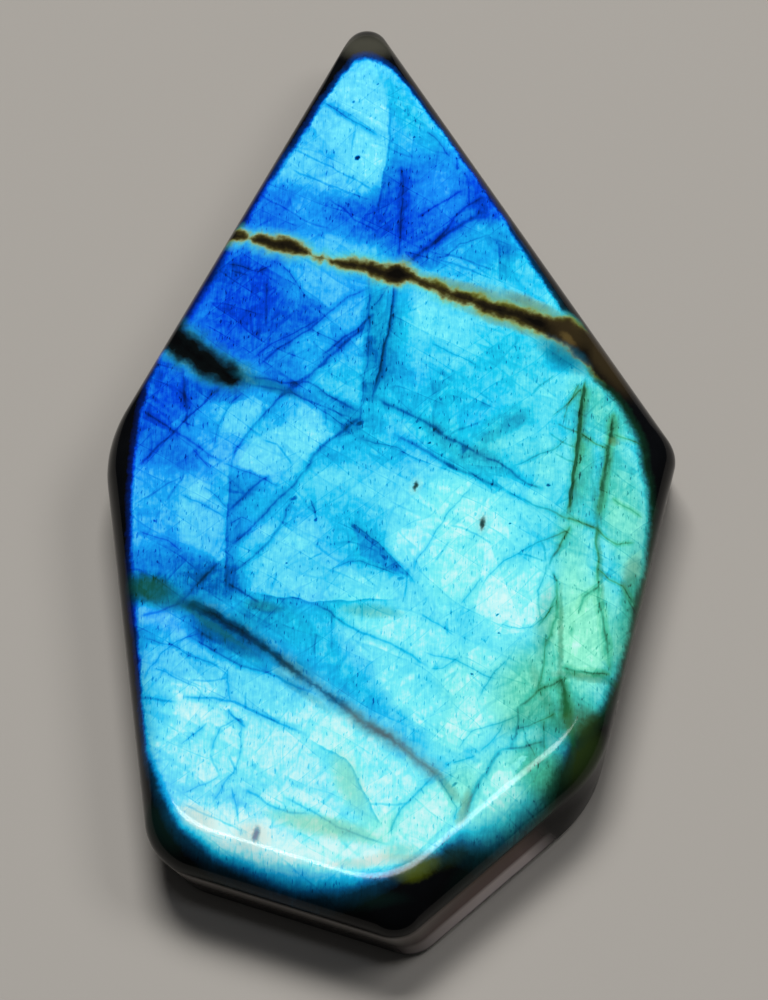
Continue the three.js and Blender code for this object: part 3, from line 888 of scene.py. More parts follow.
    ("fine", [(-11.8, -12.0), (-11.1, -12.25), (-10.3, -12.75), (-9.6, -13.05), (-9.2, -13.6)]),
    ("plain", [(-12.3, -13.5), (-11.6, -13.7), (-10.5, -13.85)]),
    ("plain", [
        (-10.4, -13.65), (-9.1, -13.65), (-7.7, -13.85), (-6.35, -14.65), (-5.05, -15.25), (-3.95, -15.8),
    ]),
    ("shade left", [
        (-0.5, -20.5), (-1.05, -19.3), (-1.35, -18.7), (-1.85, -17.5), (-2.25, -16.95), (-3.05, -16.45),
        (-4.15, -15.75),
    ]),
    ("fine", [(-8.1, -12.05), (-8.05, -12.85), (-7.9, -13.85)]),
    ("hair", [(-7.1, -13.35), (-7.1, -14.35)]),
    ("hair", [(-9.9, -12.7), (-9.0, -12.75), (-8.0, -12.65)]),
    ("plain", [(-8.1, -14.2), (-7.5, -14.85), (-7.1, -15.35)]),
    ("fine", [(-7.6, -14.75), (-8.3, -15.25), (-8.7, -15.95), (-8.85, -16.55)]),
    ("fine", [(-7.4, -15.05), (-7.3, -16.15), (-7.4, -16.85), (-7.7, -17.6), (-8.1, -18.1), (-8.8, -19.3)]),
    ("fine", [(-10.3, -16.15), (-9.5, -15.45), (-8.9, -14.95)]),
    ("hair", [(-8.85, -16.55), (-8.4, -17.7)]),
    ("hair", [(-7.95, -16.65), (-7.55, -17.5)]),
    ("fine", [(-10.1, -18.65), (-9.1, -18.2), (-8.3, -17.75)]),
    ("fine", [(-7.85, -18.3), (-7.5, -19.3), (-7.4, -20.4)]),
    ("plain", [(-7.3, -18.5), (-6.55, -18.8), (-6.05, -19.2), (-5.05, -19.7), (-3.85, -19.75)]),
    ("plain", [(-5.35, -18.8), (-4.25, -19.4), (-3.45, -19.9), (-2.55, -20.5), (0.0, -21.4)]),
    ("hair", [(-10.1, -19.15), (-9.4, -19.6), (-8.1, -20.2), (-7.0, -20.75)]),
    # the lower middle
    ("hair", [(-1.15, -19.25), (0.7, -19.25)]),
    ("plain", [(2.1, -17.6), (1.5, -18.4), (0.9, -19.0), (0.4, -19.5), (-0.3, -21.1)]),
    ("fine", [(2.2, -17.7), (2.8, -18.7), (3.1, -19.4), (3.0, -20.4)]),
    ("fine", [(2.9, -17.1), (4.1, -16.7)]),
    ("fine", [(3.2, -16.45), (3.5, -15.95), (3.9, -15.45), (5.0, -15.05), (6.25, -14.55)]),
    ("plain", [(7.45, -15.85), (6.55, -16.25), (5.3, -16.4)]),
    ("strong", [(5.45, -16.25), (4.8, -17.15), (4.2, -18.2), (3.85, -18.9), (3.4, -19.9)]),
    ("fine", [(5.45, -14.95), (5.0, -15.85), (4.2, -16.65)]),
    ("fine", [(5.65, -11.55), (5.0, -12.35), (4.5, -13.15), (4.25, -13.85)]),
    ("plain", [(8.35, -12.65), (7.15, -13.35), (6.65, -13.75), (6.1, -14.2)]),
    ("plain", [(6.15, -14.05), (6.2, -14.75), (6.05, -15.55), (5.75, -16.45)]),
    ("strong", [(8.25, -12.45), (8.45, -13.35), (8.55, -14.05), (8.5, -14.85)]),
    ("fine", [(7.55, -10.2), (7.55, -11.35), (7.35, -12.35), (7.2, -13.35)]),
    ("fine", [(8.05, -14.4), (7.35, -14.75), (6.65, -15.15), (6.05, -15.35)]),
    ("fine", [(6.35, -15.15), (6.65, -16.05), (7.0, -16.85)]),
    ("fine", [(7.4, -14.75), (7.45, -15.85), (7.45, -16.45)]),
]

# Small dark spots: x, y, half length, half width, turn, how dark.
SPOTS = [
    (-1.8, 16.9, 0.20, 0.15, 60, 0.9), (-1.95, 20.35, 0.10, 0.07, 20, 0.5),
    (-0.65, 21.4, 0.10, 0.07, 0, 0.5), (1.2, 18.2, 0.10, 0.08, 0, 0.6), (1.5, 18.2, 0.07, 0.06, 0, 0.5),
    (-1.55, 1.3, 0.28, 0.14, 40, 0.5), (3.0, -1.05, 0.35, 0.16, -30, 0.4),
    (-4.9, -2.85, 0.28, 0.16, 30, 0.5), (-3.8, -4.05, 0.16, 0.10, 60, 0.5),
    (1.4, 1.05, 0.12, 0.08, 20, 0.7), (1.9, 0.25, 0.12, 0.08, 20, 0.7), (7.8, -2.1, 0.12, 0.08, 0, 0.6),
    (5.2, -9.25, 0.10, 0.08, 0, 0.6), (5.3, -10.2, 0.10, 0.08, 0, 0.6), (5.95, -4.25, 0.10, 0.08, 0, 0.6),
    (5.0, -2.05, 0.10, 0.08, 0, 0.6), (3.9, -12.45, 0.10, 0.08, 0, 0.6),
    (-1.85, -4.45, 0.25, 0.10, -45, 0.35), (-0.4, -6.1, 0.3, 0.12, -40, 0.35),
    (0.4, -7.3, 0.25, 0.12, 20, 0.3), (-5.15, -6.4, 0.10, 0.08, 0, 0.5), (-11.85, -4.0, 0.10, 0.08, 0, 0.5),
    (-7.4, -14.85, 0.28, 0.14, -40, 0.3), (3.1, -18.2, 0.18, 0.10, 30, 0.4),
    (-6.55, -20.8, 0.42, 0.18, 80, 0.5), (9.45, -0.65, 0.3, 0.08, 85, 0.5),
    (9.45, -1.55, 0.3, 0.08, 85, 0.5), (8.25, 9.85, 0.08, 0.06, 0, 0.5),
]

# Dark seams: the two edges of the dark core, from left to right, and the colours across it,
# from the core's middle outwards, each with its distance from the core's edge and its strength.
BROWN_SEAM = {
    "upper": [
        (-9.6, 12.75), (-8.1, 12.5), (-7.6, 12.3), (-7.3, 12.0), (-7.0, 12.15), (-6.5, 12.2), (-5.8, 12.1),
        (-5.0, 11.85), (-4.4, 11.45), (-4.1, 11.0), (-3.85, 10.9), (-3.6, 11.05), (-3.3, 10.75),
        (-3.0, 10.7), (-2.6, 10.78), (-1.9, 10.68), (-1.2, 10.5), (-0.9, 10.45), (-0.4, 10.35), (0.0, 10.4),
        (0.45, 10.55), (0.85, 10.2), (1.3, 9.7), (1.8, 9.5), (2.4, 9.25), (3.0, 9.05), (4.0, 8.7),
        (5.0, 8.35), (6.0, 8.1), (7.0, 7.8), (8.25, 7.45), (9.0, 7.35), (10.45, 6.5), (11.6, 5.6),
    ],
    "lower": [
        (-9.6, 12.45), (-8.1, 12.05), (-7.6, 12.1), (-7.3, 12.2), (-7.0, 11.85), (-6.5, 11.7),
        (-5.8, 11.45), (-5.0, 11.2), (-4.4, 11.1), (-4.1, 11.25), (-3.85, 11.0), (-3.6, 10.8), (-3.3, 11.0),
        (-3.0, 10.65), (-2.6, 10.45), (-1.9, 10.3), (-1.2, 10.15), (-0.9, 9.9), (-0.4, 9.65), (0.0, 9.5),
        (0.45, 9.45), (0.85, 9.6), (1.3, 9.5), (1.8, 9.15), (2.4, 8.9), (3.0, 8.6), (4.0, 8.2), (5.0, 7.75),
        (6.0, 7.4), (7.0, 6.95), (8.25, 6.35), (9.0, 5.8), (10.45, 4.3), (11.6, 3.2),
    ],
    "mottled": 0.5,
    "colours": [
        (-0.40, (13, 11, 8), 1.0), (-0.16, (34, 29, 16), 1.0), (-0.02, (64, 58, 26), 1.0),
        (0.07, (104, 102, 44), 0.97), (0.16, (146, 160, 78), 0.88), (0.25, (124, 198, 138), 0.66),
        (0.40, (88, 212, 200), 0.38), (0.75, (66, 208, 228), 0.0),
    ],
}
LEFT_SEAM = {
    "upper": [
        (-11.5, 7.75), (-10.5, 6.7), (-9.7, 5.9), (-8.9, 5.25), (-8.1, 4.65), (-7.4, 4.05), (-6.65, 3.55),
    ],
    "lower": [
        (-11.8, 6.1), (-10.7, 5.1), (-9.9, 4.55), (-9.1, 4.0), (-8.3, 3.65), (-7.5, 3.5), (-6.65, 3.55),
    ],
    "mottled": 0.7,
    "colours": [
        (-0.60, (5, 6, 7), 1.0), (-0.24, (8, 14, 15), 1.0), (-0.02, (14, 42, 40), 0.95),
        (0.20, (22, 84, 86), 0.80), (0.45, (24, 118, 140), 0.45), (0.85, (26, 130, 190), 0.0),
    ],
}
LONG_SEAM_DARK = {
    "upper": [
        (-10.9, -8.2), (-9.7, -8.5), (-8.7, -9.0), (-7.7, -9.7), (-6.65, -10.5), (-5.25, -11.7),
        (-3.65, -13.0),
    ],
    "lower": [
        (-10.9, -8.5), (-9.7, -8.9), (-8.7, -9.5), (-7.7, -10.15), (-6.65, -10.85), (-5.25, -11.95),
        (-3.65, -13.15),
    ],
    "colours": [
        (-0.20, (4, 20, 30), 0.97), (0.0, (2, 44, 74), 0.9), (0.14, (6, 80, 116), 0.65),
        (0.38, (12, 118, 162), 0.35), (0.80, (20, 140, 200), 0.0),
    ],
}
LONG_SEAM_BLUE = {
    "upper": [
        (-4.65, -12.25), (-3.35, -13.25), (-2.05, -14.25), (-1.05, -15.05), (0.0, -15.75), (0.9, -16.45),
    ],
    "lower": [(-4.65, -12.45), (-3.35, -13.5), (-2.05, -14.5), (-1.05, -15.3), (0.0, -16.0), (0.9, -16.6)],
    "colours": [
        (-0.08, (10, 66, 108), 0.9), (0.0, (18, 86, 128), 0.8), (0.12, (40, 126, 166), 0.5),
        (0.36, (80, 170, 200), 0.2), (0.66, (100, 190, 220), 0.0),
    ],
}
LONG_SEAM_BROWN = {
    "upper": [(-2.6, -14.0), (-1.25, -15.1), (0.0, -15.75), (1.0, -16.5), (2.0, -17.35), (2.9, -18.0)],
    "lower": [(-2.6, -14.05), (-1.25, -15.2), (0.0, -16.0), (1.0, -16.85), (2.0, -17.75), (2.9, -18.15)],
    "colours": [
        (-0.18, (84, 96, 94), 0.85), (0.0, (96, 130, 132), 0.65), (0.16, (112, 172, 170), 0.35),
        (0.50, (140, 200, 190), 0.0),
    ],
}
SEAMS = [BROWN_SEAM, LEFT_SEAM, LONG_SEAM_DARK, LONG_SEAM_BLUE, LONG_SEAM_BROWN]

# the pewter grey serves as a painted sheen on the rim, not as a stain
STAIN_COLOURS = {
    "olive": (118, 128, 34), "moss": (58, 84, 34), "leaf": (98, 112, 14), "fern": (28, 108, 58),
    "sage": (150, 196, 140), "brown": (58, 48, 28), "bronze": (110, 92, 50), "beige": (214, 200, 176),
    "teal": (8, 96, 122), "pale": (150, 226, 226), "ink": (12, 34, 30), "pewter": (70, 69, 60),
    "grey": (112, 112, 128),
}

# Stains in the flash: colour, x, y, half length, half width, turn, strength.
FLASH_STAINS = [
    ("olive", 4.4, 8.95, 3.0, 0.34, -19, 0.55), ("olive", 7.25, 8.25, 1.6, 0.34, -26, 0.55),
    ("leaf", 6.2, 8.75, 2.0, 0.22, -22, 0.22), ("olive", 5.65, 7.15, 2.4, 0.24, -22, 0.45),
    ("brown", 9.05, 6.7, 1.2, 0.7, -40, 0.7), ("bronze", 9.0, 6.3, 0.5, 0.22, -50, 0.5),
    ("teal", 8.75, 5.3, 1.6, 0.65, -35, 0.70), ("teal", -6.25, 3.55, 1.8, 0.35, -22, 0.55),
    ("leaf", 11.2, 0.4, 0.30, 0.22, 0, 0.45), ("leaf", 11.9, -6.7, 0.4, 0.9, -20, 0.40),
    ("fern", 9.6, -12.5, 1.7, 0.24, -4, 0.55), ("fern", 8.3, -10.4, 2.6, 0.14, 88, 0.50),
    ("fern", 8.65, -14.6, 1.8, 0.22, -84, 0.60), ("fern", 10.3, -5.6, 3.2, 0.12, -87, 0.40),
    ("fern", 7.4, -13.4, 1.7, 0.30, -70, 0.35), ("fern", 7.6, -9.6, 2.0, 0.5, 82, 0.30),
    ("fern", 8.0, -15.4, 1.2, 0.9, 40, 0.45), ("fern", 6.6, -14.6, 1.6, 0.6, 30, 0.25),
    ("moss", 9.35, -14.95, 1.0, 0.8, 0, 0.6), ("fern", -8.7, -9.9, 2.0, 0.16, -36, 0.40),
    ("fern", -11.8, -7.9, 1.5, 0.7, -32, 0.45), ("teal", -10.6, -8.3, 1.6, 0.5, -20, 0.40),
    ("teal", -8.0, -10.6, 2.0, 0.4, -38, 0.45), ("teal", -4.6, -13.2, 1.8, 0.2, -38, 0.30),
    ("fern", -6.35, -8.75, 0.9, 0.3, -10, 0.35), ("fern", -0.95, -9.05, 1.4, 0.35, -6, 0.32),
    ("sage", -2.05, -18.2, 0.6, 1.7, 25, 0.28), ("sage", -3.25, -20.4, 2.6, 0.5, -14, 0.42),
    ("beige", -9.4, -19.9, 1.0, 0.5, -30, 0.35), ("beige", -6.75, -20.9, 0.9, 0.7, 0, 0.35),
    ("grey", -6.55, -20.8, 0.20, 0.40, -8, 0.70), ("beige", -1.0, -22.2, 2.2, 0.28, 6, 0.35),
    ("olive", 3.5, -19.4, 0.24, 1.0, -16, 0.45), ("moss", 2.7, -18.3, 1.0, 0.25, -50, 0.40),
    ("leaf", 1.2, -22.4, 1.1, 0.6, 25, 0.55), ("sage", 0.3, -21.7, 0.9, 0.4, 10, 0.3),
    ("pale", 1.2, -2.15, 0.46, 0.30, 80, 0.45), ("pale", 4.55, -4.25, 0.62, 0.34, 75, 0.45),
    ("ink", 1.2, -2.15, 0.24, 0.12, 80, 0.95), ("ink", 4.55, -4.25, 0.38, 0.13, 75, 0.95),
]

# Faint colour in the dark rim, and a painted sheen at the pointed end: colour, x, y, half length, half width,
# turn, strength.
RIM_STAINS = [
    # the grey one at the pointed end is a painted sheen on the rim
    ("pewter", -1.35, 23.95, 1.5, 0.9, 0, 0.85), ("ink", 5.65, -21.6, 3.6, 1.1, 42, 0.9),
    ("leaf", 1.2, -22.4, 1.1, 0.6, 25, 0.55), ("moss", 3.0, -21.6, 1.2, 0.5, 40, 0.2),
    ("ink", -2.45, -24.0, 2.8, 0.5, 0, 0.70), ("moss", 9.25, -16.65, 1.6, 0.9, 50, 0.45),
    ("brown", 10.65, 5.2, 2.4, 0.6, -58, 0.65), ("ink", -11.2, -20.3, 1.6, 0.6, -55, 0.9),
    ("ink", -7.7, -22.8, 2.4, 0.5, -14, 0.8), ("moss", 12.5, -7.7, 0.6, 1.6, -12, 0.6),
]


def local_frame(start, end, half_width=1.0):
    """Rows that turn a place (x, y, 1) into how far along start to end it lies and how far to its left."""
    (ax, ay), (bx, by) = start, end
    reach = math.hypot(bx - ax, by - ay)
    dx, dy = (bx - ax) / reach, (by - ay) / reach
    along = (dx / reach, dy / reach, -(ax * dx + ay * dy) / reach)
    across = (-dy / half_width, dx / half_width, (ax * dy - ay * dx) / half_width)
    return along, across


def laid_out(row, point):
    return row[0] * point[0] + row[1] * point[1] + row[2]


# How a soft mark fades from its middle to its edge: how far out, and how much of it is left there.
FALLOFF = [(0.0, 1.0), (0.3, 0.97), (0.5, 0.8), (0.75, 0.38), (0.9, 0.08), (1.0, 0.0)]

# How far a soft mark's edge lies past its half length and half width, at which it is nearly gone.
REACH = 1.35


def soft_mask(r, place, oval, strength, reach=REACH):
    """Full in the middle of an oval and nothing at its edge."""
    x, y, half_length, half_width, turn = oval
    cosine, sine = math.cos(math.radians(turn)), math.sin(math.radians(turn))
    length, width = half_length * reach, half_width * reach
    u = r.dot(place, (cosine / length, sine / length, -(x * cosine + y * sine) / length))
    v = r.dot(place, (-sine / width, cosine / width, (x * sine - y * cosine) / width))
    points = [(at * at, share * strength) for at, share in FALLOFF]
    return r.curve(r.sum("MULTIPLY_ADD", u, u, v * v), points)


def paint_zones(r, place, light, hue, zones):
    for *oval, zone_light, zone_hue, strength in zones:
        mask = soft_mask(r, place, oval, strength)
        light = r.blend(mask, light, zone_light)
        hue = r.blend(mask, hue, zone_hue)
    return light, hue


def paint_panes(r, place, light, hue, panes):
    for corners, pane_light, pane_hue, strength, edge in panes:
        inside = None
        turning = sum(a[0] * b[1] - b[0] * a[1] for a, b in zip(corners, corners[1:] + corners[:1]))
        ordered = corners if turning > 0 else corners[::-1]
        for start, end in zip(ordered, ordered[1:] + ordered[:1]):
            _, across = local_frame(start, end, edge / strength)
            depth = r.dot(place, across)
            inside = depth if inside is None else r.lesser(inside, depth)
        mask = r.lesser(r.clamped(inside), strength)
        light = r.blend(mask, light, pane_light)
        hue = r.blend(mask, hue, pane_hue)
    return light, hue


# How a crack comes up after its start and goes down before its end.
CRACK_ENDS = [(0.0, 0.0), (0.1, 1.0), (0.85, 1.0), (1.0, 0.0)]


def draw_cracks(r, place, shade, cracks):
    for kind, points in cracks:
        profile = CRACK_KINDS[kind]
        reach = max(abs(at) for at, _ in profile)
        along, across = local_frame(points[0], points[-1], 2 * reach)
        u = r.dot(place, along)
        path = sorted((laid_out(along, p), laid_out(across, p) - 0.5) for p in points)
        v = r.dot(place, across) - r.curve(u, path)
        steps = [(0.5 + at / (2 * reach), change) for at, change in profile]
        shade = r.sum("MULTIPLY_ADD", r.curve(u, CRACK_ENDS), r.curve(v, steps), shade)
    return shade


def stretched_noise(r, place, turn, along, across, detail):
    """Noise drawn out one way, from how often it changes in a millimetre along its turn and across it."""
    turned = r.out(
        "ShaderNodeMapping",
        {"vector_type": "TEXTURE"},
        {"Vector": place, "Rotation": (0.0, 0.0, math.radians(turn)), "Scale": (1 / along, 1 / across, 1.0)},
    )
    return r.noise(turned, 1.0, detail)


# The upright streaks and ticks: direction in degrees, changes along and across a millimetre, and detail.
STREAKS = (88, 1.3, 11.0, 2.0)
TICKS = (86, 2.2, 8.0, 1.0)

# From where to where a tick comes up out of its noise.
TICK_LEVELS = (0.70, 0.7714)

# How much the streaks, the ticks and the mottling change the light.
STREAK_DEPTH = 0.15
TICK_DEPTH = 0.20
MOTTLE_DEPTH = 0.15


def fine_grain(r, place, light):
    """The upright streaks and ticks and the mottling that run through the whole flash."""
    streaks = stretched_noise(r, place, *STREAKS)
    light = r.sum("MULTIPLY_ADD", streaks - 0.5, STREAK_DEPTH, light)
    ticks = stretched_noise(r, place, *TICKS)
    light = light - r.climb(ticks, *TICK_LEVELS) * TICK_DEPTH
    return r.sum("MULTIPLY_ADD", r.noise(place, 3.2, 3.0) - 0.5, MOTTLE_DEPTH, light)


# Families of faint cracks: direction in degrees, changes along and across a millimetre, how dark,
# and how much the light steps from one side to the other.
CRACK_FAMILIES = [
    (-33, 0.10, 0.60, 0.13, 0.035),
    (43, 0.12, 0.75, 0.11, 0.03),
    (86, 0.14, 0.55, 0.09, 0.02),
]

# How steeply a faint crack's line falls off beside it, and how steeply the light steps across it.
CRACK_SHARPNESS = 48.0
STEP_SHARPNESS = 34.0


def faint_cracks(r, place, cloud, light):
    strength = r.climb(cloud, 1 / 3, 2 / 3)
    for turn, along, across, dark, step in CRACK_FAMILIES:
        level = stretched_noise(r, place, turn, along, across, 1.6) - 0.5
        line = r.clamped(1 - abs(level) * CRACK_SHARPNESS)
        light = light - line * strength * dark
        light = r.sum("MULTIPLY_ADD", r.clamped(level * STEP_SHARPNESS + 0.5) - 0.5, step, light)
    return light


def draw_spots(r, place, light, spots):
    for *oval, dark in spots:
        mask = soft_mask(r, place, oval, dark, reach=1.0)
        light = light - mask * light
    return light


def in_layers(r, name, kinds, given, draw, marks):
    """Draws marks over the last of the given values, a batch of them in each node group."""
    place, *values = given
    for batch in batches(marks):
        result = layer(r, name, kinds, (place, *values), lambda *inner: draw(*inner, batch))
        values = result if isinstance(result, tuple) else (result,)
    return values if len(values) > 1 else values[0]


def reaching(marks, span, extent):
    """The marks whose lowest and highest place, with some room for straying, reach into a span of y."""
    room = 0.9
    low, high = span
    extents = [(mark, *extent(mark)) for mark in marks]
    return [mark for mark, bottom, top in extents if top + room > low and bottom - room < high]


def oval_extent(oval):
    _, y, half_length, half_width, turn = oval
    rise = math.hypot(half_length * math.sin(math.radians(turn)), half_width * math.cos(math.radians(turn)))
    return y - rise * REACH, y + rise * REACH


def line_extent(points, room):
    rows = [y for _, y in points]
    return min(rows) - room, max(rows) + room


def seam_depth(r, place, seam):
    """How many millimetres a place lies outside the seam's dark core, and a share that fades at its ends."""
    end_fade = 1.1
    start, end = seam["upper"][0], seam["upper"][-1]
    reach = math.dist(start, end)
    along, across = local_frame(start, end)
    u = r.dot(place, along)
    v = r.dot(place, across)
    edges = [[(laid_out(along, p), laid_out(across, p)) for p in seam[side]] for side in ("upper", "lower")]
    upper, lower = (r.curve(u, sorted(edge)) for edge in edges)
    within = r.clamped((0.5 - abs(u - 0.5)) * (reach / end_fade) + 0.05)
    return r.greater(v - upper, lower - v), within


def lay_seam(r, place, seam, mottle, colour):
    nearest = seam["colours"][0][0]
    furthest = seam["colours"][-1][0]
    span = furthest - nearest
    depth, within = seam_depth(r, place, seam)
    share = (depth - nearest + (mottle - 0.5) * seam.get("mottled", 0.3)) * (1 / span)
    stops = [((at - nearest) / span, (*linear(*paint), strength)) for at, paint, strength in seam["colours"]]
    paint, strength = r.ramp(share, stops)
    return r.blend(strength * within, colour, paint, "RGBA")


def lay_stains(r, place, colour, stains):
    for name, *oval, strength in stains:
        mask = soft_mask(r, place, oval, strength)
        colour = r.blend(mask, colour, (*linear(*STAIN_COLOURS[name]), 1.0), "RGBA")
    return colour


# How much the stone is shortened before the flash's edge is read off by its direction from the middle.
EDGE_SHORTENING = 0.5


def flash_strength(r, place):
    """Two shares of the flash: the bright part inside its edge, and the dim glow that ends just past it."""
    flat = r.vector("MULTIPLY", place, (1.0, EDGE_SHORTENING, 0.0))
    across, up, _ = r.parts(flat)
    turn = r.sum("ARCTAN2", up, across) * (0.5 / math.pi) + 0.5
    around = []
    for x, y, fade in FLASH_EDGE:
        y_short = y * EDGE_SHORTENING
        at = 0.5 + 0.5 * math.atan2(y_short, x) / math.pi
        # the nearer to an end, the more a fade is shortened as well
        shortening = 1.0 - (1.0 - EDGE_SHORTENING) * abs(math.sin(2 * math.pi * (at - 0.5)))
        around.append((at, math.hypot(x, y_short), fade * shortening))
    around.sort()
    first, last = around[0], around[-1]
    around = [(last[0] - 1.0, *last[1:]), *around, (first[0] + 1.0, *first[1:])]
    edge = r.curve(turn, [(at, reach) for at, reach, _ in around])
    fade = r.curve(turn, [(at, width) for at, _, width in around])
    inside = edge - r.length(flat)
    bright = r.clamped(inside / fade + 0.5)
    glow = r.clamped(inside / (0.15 + fade * 0.9) + 1.0)
    return bright, glow


# The light at which the flash has its body, dusk, deep, full, pale and white colours, and how much of
# the deep colour is left at dusk.
FLASH_LEVELS = (0.0, 0.17, 0.34, 0.60, 0.82, 1.0)
DUSK = 0.28


def flash_colour(r, light, hue, colours):
    """The colour of a light and hue, from a blue, a cyan and a green ramp."""
    ramps = []
    for name in ("blue", "cyan", "green"):
        deep, full, pale = (tuple(getattr(colours, f"{name}_{shade}")) for shade in ("deep", "full", "pale"))
        dusk = tuple(DUSK * part for part in deep)
        shades = (tuple(colours.body), dusk, deep, full, pale, tuple(colours.white_flash))
        ramps.append(r.ramp(light, list(zip(FLASH_LEVELS, shades)))[0])
    blue, cyan, green = ramps
    bluish = r.blend(hue * 2.0, blue, cyan, "RGBA")
    return r.blend(hue * 2.0 - 1.0, bluish, green, "RGBA")


# The lower wall's plain colour, and its colours at the near end, from the flat back up to just over the
# girdle: height in millimetres and colour. At the near end these are mostly painted reflection and painted
# shade.
DARK_WALL = (12, 11, 11)
# painted reflection of the lit floor: bright just under the girdle, darker towards the flat back, where the
# mirrored floor lies in shadow
FLOOR_REFLECTION_WALL = [
    (0.0, (10, 9, 10)), (0.5, (26, 25, 26)), (1.3, (70, 67, 66)),
    (2.1, (150, 146, 142)), (2.45, (40, 39, 38)),
]
# a pale strip, with a dark painted contact shade at its foot and a brownish painted reflection of the floor
# above it, under the girdle
PALE_WALL_WITH_PAINTED_LIGHT = [
    (0.0, (36, 24, 40)), (0.25, (70, 56, 72)), (0.45, (235, 222, 222)), (1.0, (225, 212, 210)),
    (1.3, (120, 100, 96)), (2.1, (110, 92, 84)), (2.45, (52, 44, 38)),
]

# The height over which the wall's ramps run, in millimetres.
WALL_SPAN = 3.0

# Where the wall is pale: x, y, half length, half width, turn.
PALE_SIDE = (6.4, -21.2, 6.6, 1.5, 42)

# From which y to which the plain wall goes over into the near end's.
NEAR_WALL = (-19.5, -20.75)

# From which height to which the rim goes over into the wall, and the wall and rim into the flash.
RIM_TO_WALL = (2.5, 2.3)
RISE_TO_FLASH = (2.35, 2.6)


def wall_stops(levels):
    return [(level / WALL_SPAN, linear(*paint)) for level, paint in levels]


# Where one band of the finish ends and the next begins, from the blunt end to the pointed end.
BANDS = (-27.0, -18.4, -14.4, -10.4, -6.4, -2.4, 1.6, 5.6, 10.8, 27.0)


def lay_in_bands(mesh, finishes):
    """Gives each face the finish of the band that its middle is in."""
    mesh.materials.clear()
    for finish in finishes:
        mesh.materials.append(finish)
    for face in mesh.polygons:
        row = face.center.y / MM
        face.material_index = sum(row > edge for edge in BANDS[1:-1])


def straying(r, flat, scale, amount):
    """A small shift that changes over the stone, so that no edge or line is ruled."""
    noise = r.noise(flat, scale, 2.0, output="Color")
    return r.vector("MULTIPLY", r.vector("SUBTRACT", noise, (0.5, 0.5, 0.5)), (amount, amount, 0.0))


# Sizes of the angular chips in the flash: how often they change in a millimetre, turn, and change of light.
CHIPS = ((0.45, 24, 0.08), (1.1, -38, 0.03))


def chipped(r, flat, light, hue):
    """Angular patches that differ a little from those beside them."""
    for scale, turn, amount in CHIPS:
        turned = r.out(
            "ShaderNodeMapping",
            None,
            {"Vector": flat, "Rotation": (0.0, 0.0, math.radians(turn)), "Scale": (scale, scale * 0.55, 1.0)},
        )
        inputs = {"Vector": turned, "Scale": 1.0}
        chips = r.out("ShaderNodeTexVoronoi", {"voronoi_dimensions": "2D"}, inputs, "Color")
        parts = r.make("ShaderNodeSeparateColor", None, {"Color": chips})
        light = r.sum("MULTIPLY_ADD", Value(r, parts.outputs[0]) - 0.5, amount, light)
        hue = r.sum("MULTIPLY_ADD", Value(r, parts.outputs[1]) - 0.5, amount * 0.6, hue)
    return light, hue


# The most that cracks on top of each other take from the light.
DEEPEST_CRACK = -0.50

# From which x to which the cracks turn green.
GREEN_CRACKS = (6.4, 10.4)


def flash_pattern(r, flat, line_place, place, span):
    """The flash's light and hue, with its cracks and spots, before it fades at its edge."""
    x, y, _ = r.parts(flat)

    # between the marks the flash is a soft cloud that is greener to the right
    light = 0.62 + r.noise(flat, 0.45, 4.0) * 0.14
    hue = 0.30 + x * 0.028 - y * 0.004
    field = ("place", "number", "number")
    zones = reaching(ZONES, span, lambda zone: oval_extent(zone[:5]))
    light, hue = in_layers(r, "zones", field, (place, light, hue), paint_zones, zones)
    panes = reaching(PANES, span, lambda pane: line_extent(pane[0], 0.0))
    light, hue = in_layers(r, "panes", field, (place, light, hue), paint_panes, panes)
    light, hue = chipped(r, flat, light, hue)
    cloud = r.noise(flat, 1.6, 5.0)
    light = light + (cloud - 0.5) * 0.16

    # a crack dims bright flash more than dim flash, and is green rather than blue at the right
    cracks = reaching(CRACKS, span, lambda crack: line_extent(crack[1], 1.3))
    shade = in_layers(r, "cracks", ("place", "number"), (line_place, 0.0), draw_cracks, cracks)
    shade = r.greater(shade, DEEPEST_CRACK)
    hue = r.sum("MULTIPLY_ADD", r.climb(x, *GREEN_CRACKS), r.climb(shade, 0.0, -0.4) * 0.6, hue)
    light = r.sum("MULTIPLY_ADD", shade, light * 0.65 + cloud * 0.5 + 0.08, light)

    light = fine_grain(r, flat, light)
    light = faint_cracks(r, flat, cloud, light)
    spots = reaching(SPOTS, span, lambda spot: oval_extent(spot[:5]))
    light = in_layers(r, "spots", ("place", "number"), (place, light), draw_spots, spots)
    return light, hue


def dark_parts(r, flat, place, z, body, span):
    """The rim around the flash and, under the girdle, the wall, with a pale strip and painted floor
    reflection and contact shade at the near end.
    """
    stains = reaching(RIM_STAINS, span, lambda stain: oval_extent(stain[1:6]))
    rim = lay_stains(r, place, body, stains)
    height = z * (1 / WALL_SPAN)
    floor_reflection_wall, _ = r.ramp(height, wall_stops(FLOOR_REFLECTION_WALL))
    pale_wall_with_painted_light, _ = r.ramp(height, wall_stops(PALE_WALL_WITH_PAINTED_LIGHT))
    near_wall = r.blend(soft_mask(r, flat, PALE_SIDE, 1.0), floor_reflection_wall, pale_wall_with_painted_light, "RGBA")
    _, y, _ = r.parts(flat)
    wall = r.blend(r.climb(y, *NEAR_WALL), (*linear(*DARK_WALL), 1.0), near_wall, "RGBA")
    return r.blend(r.climb(z, *RIM_TO_WALL), rim, wall, "RGBA")


# How much of its light the flash keeps at its edge.
EDGE_LIGHT = 0.26

# From which y and from which x to which the flash's edge turns greener.
GREEN_NEAR_END = (-14.0, -18.0)
GREEN_RIGHT = (7.0, 10.333)


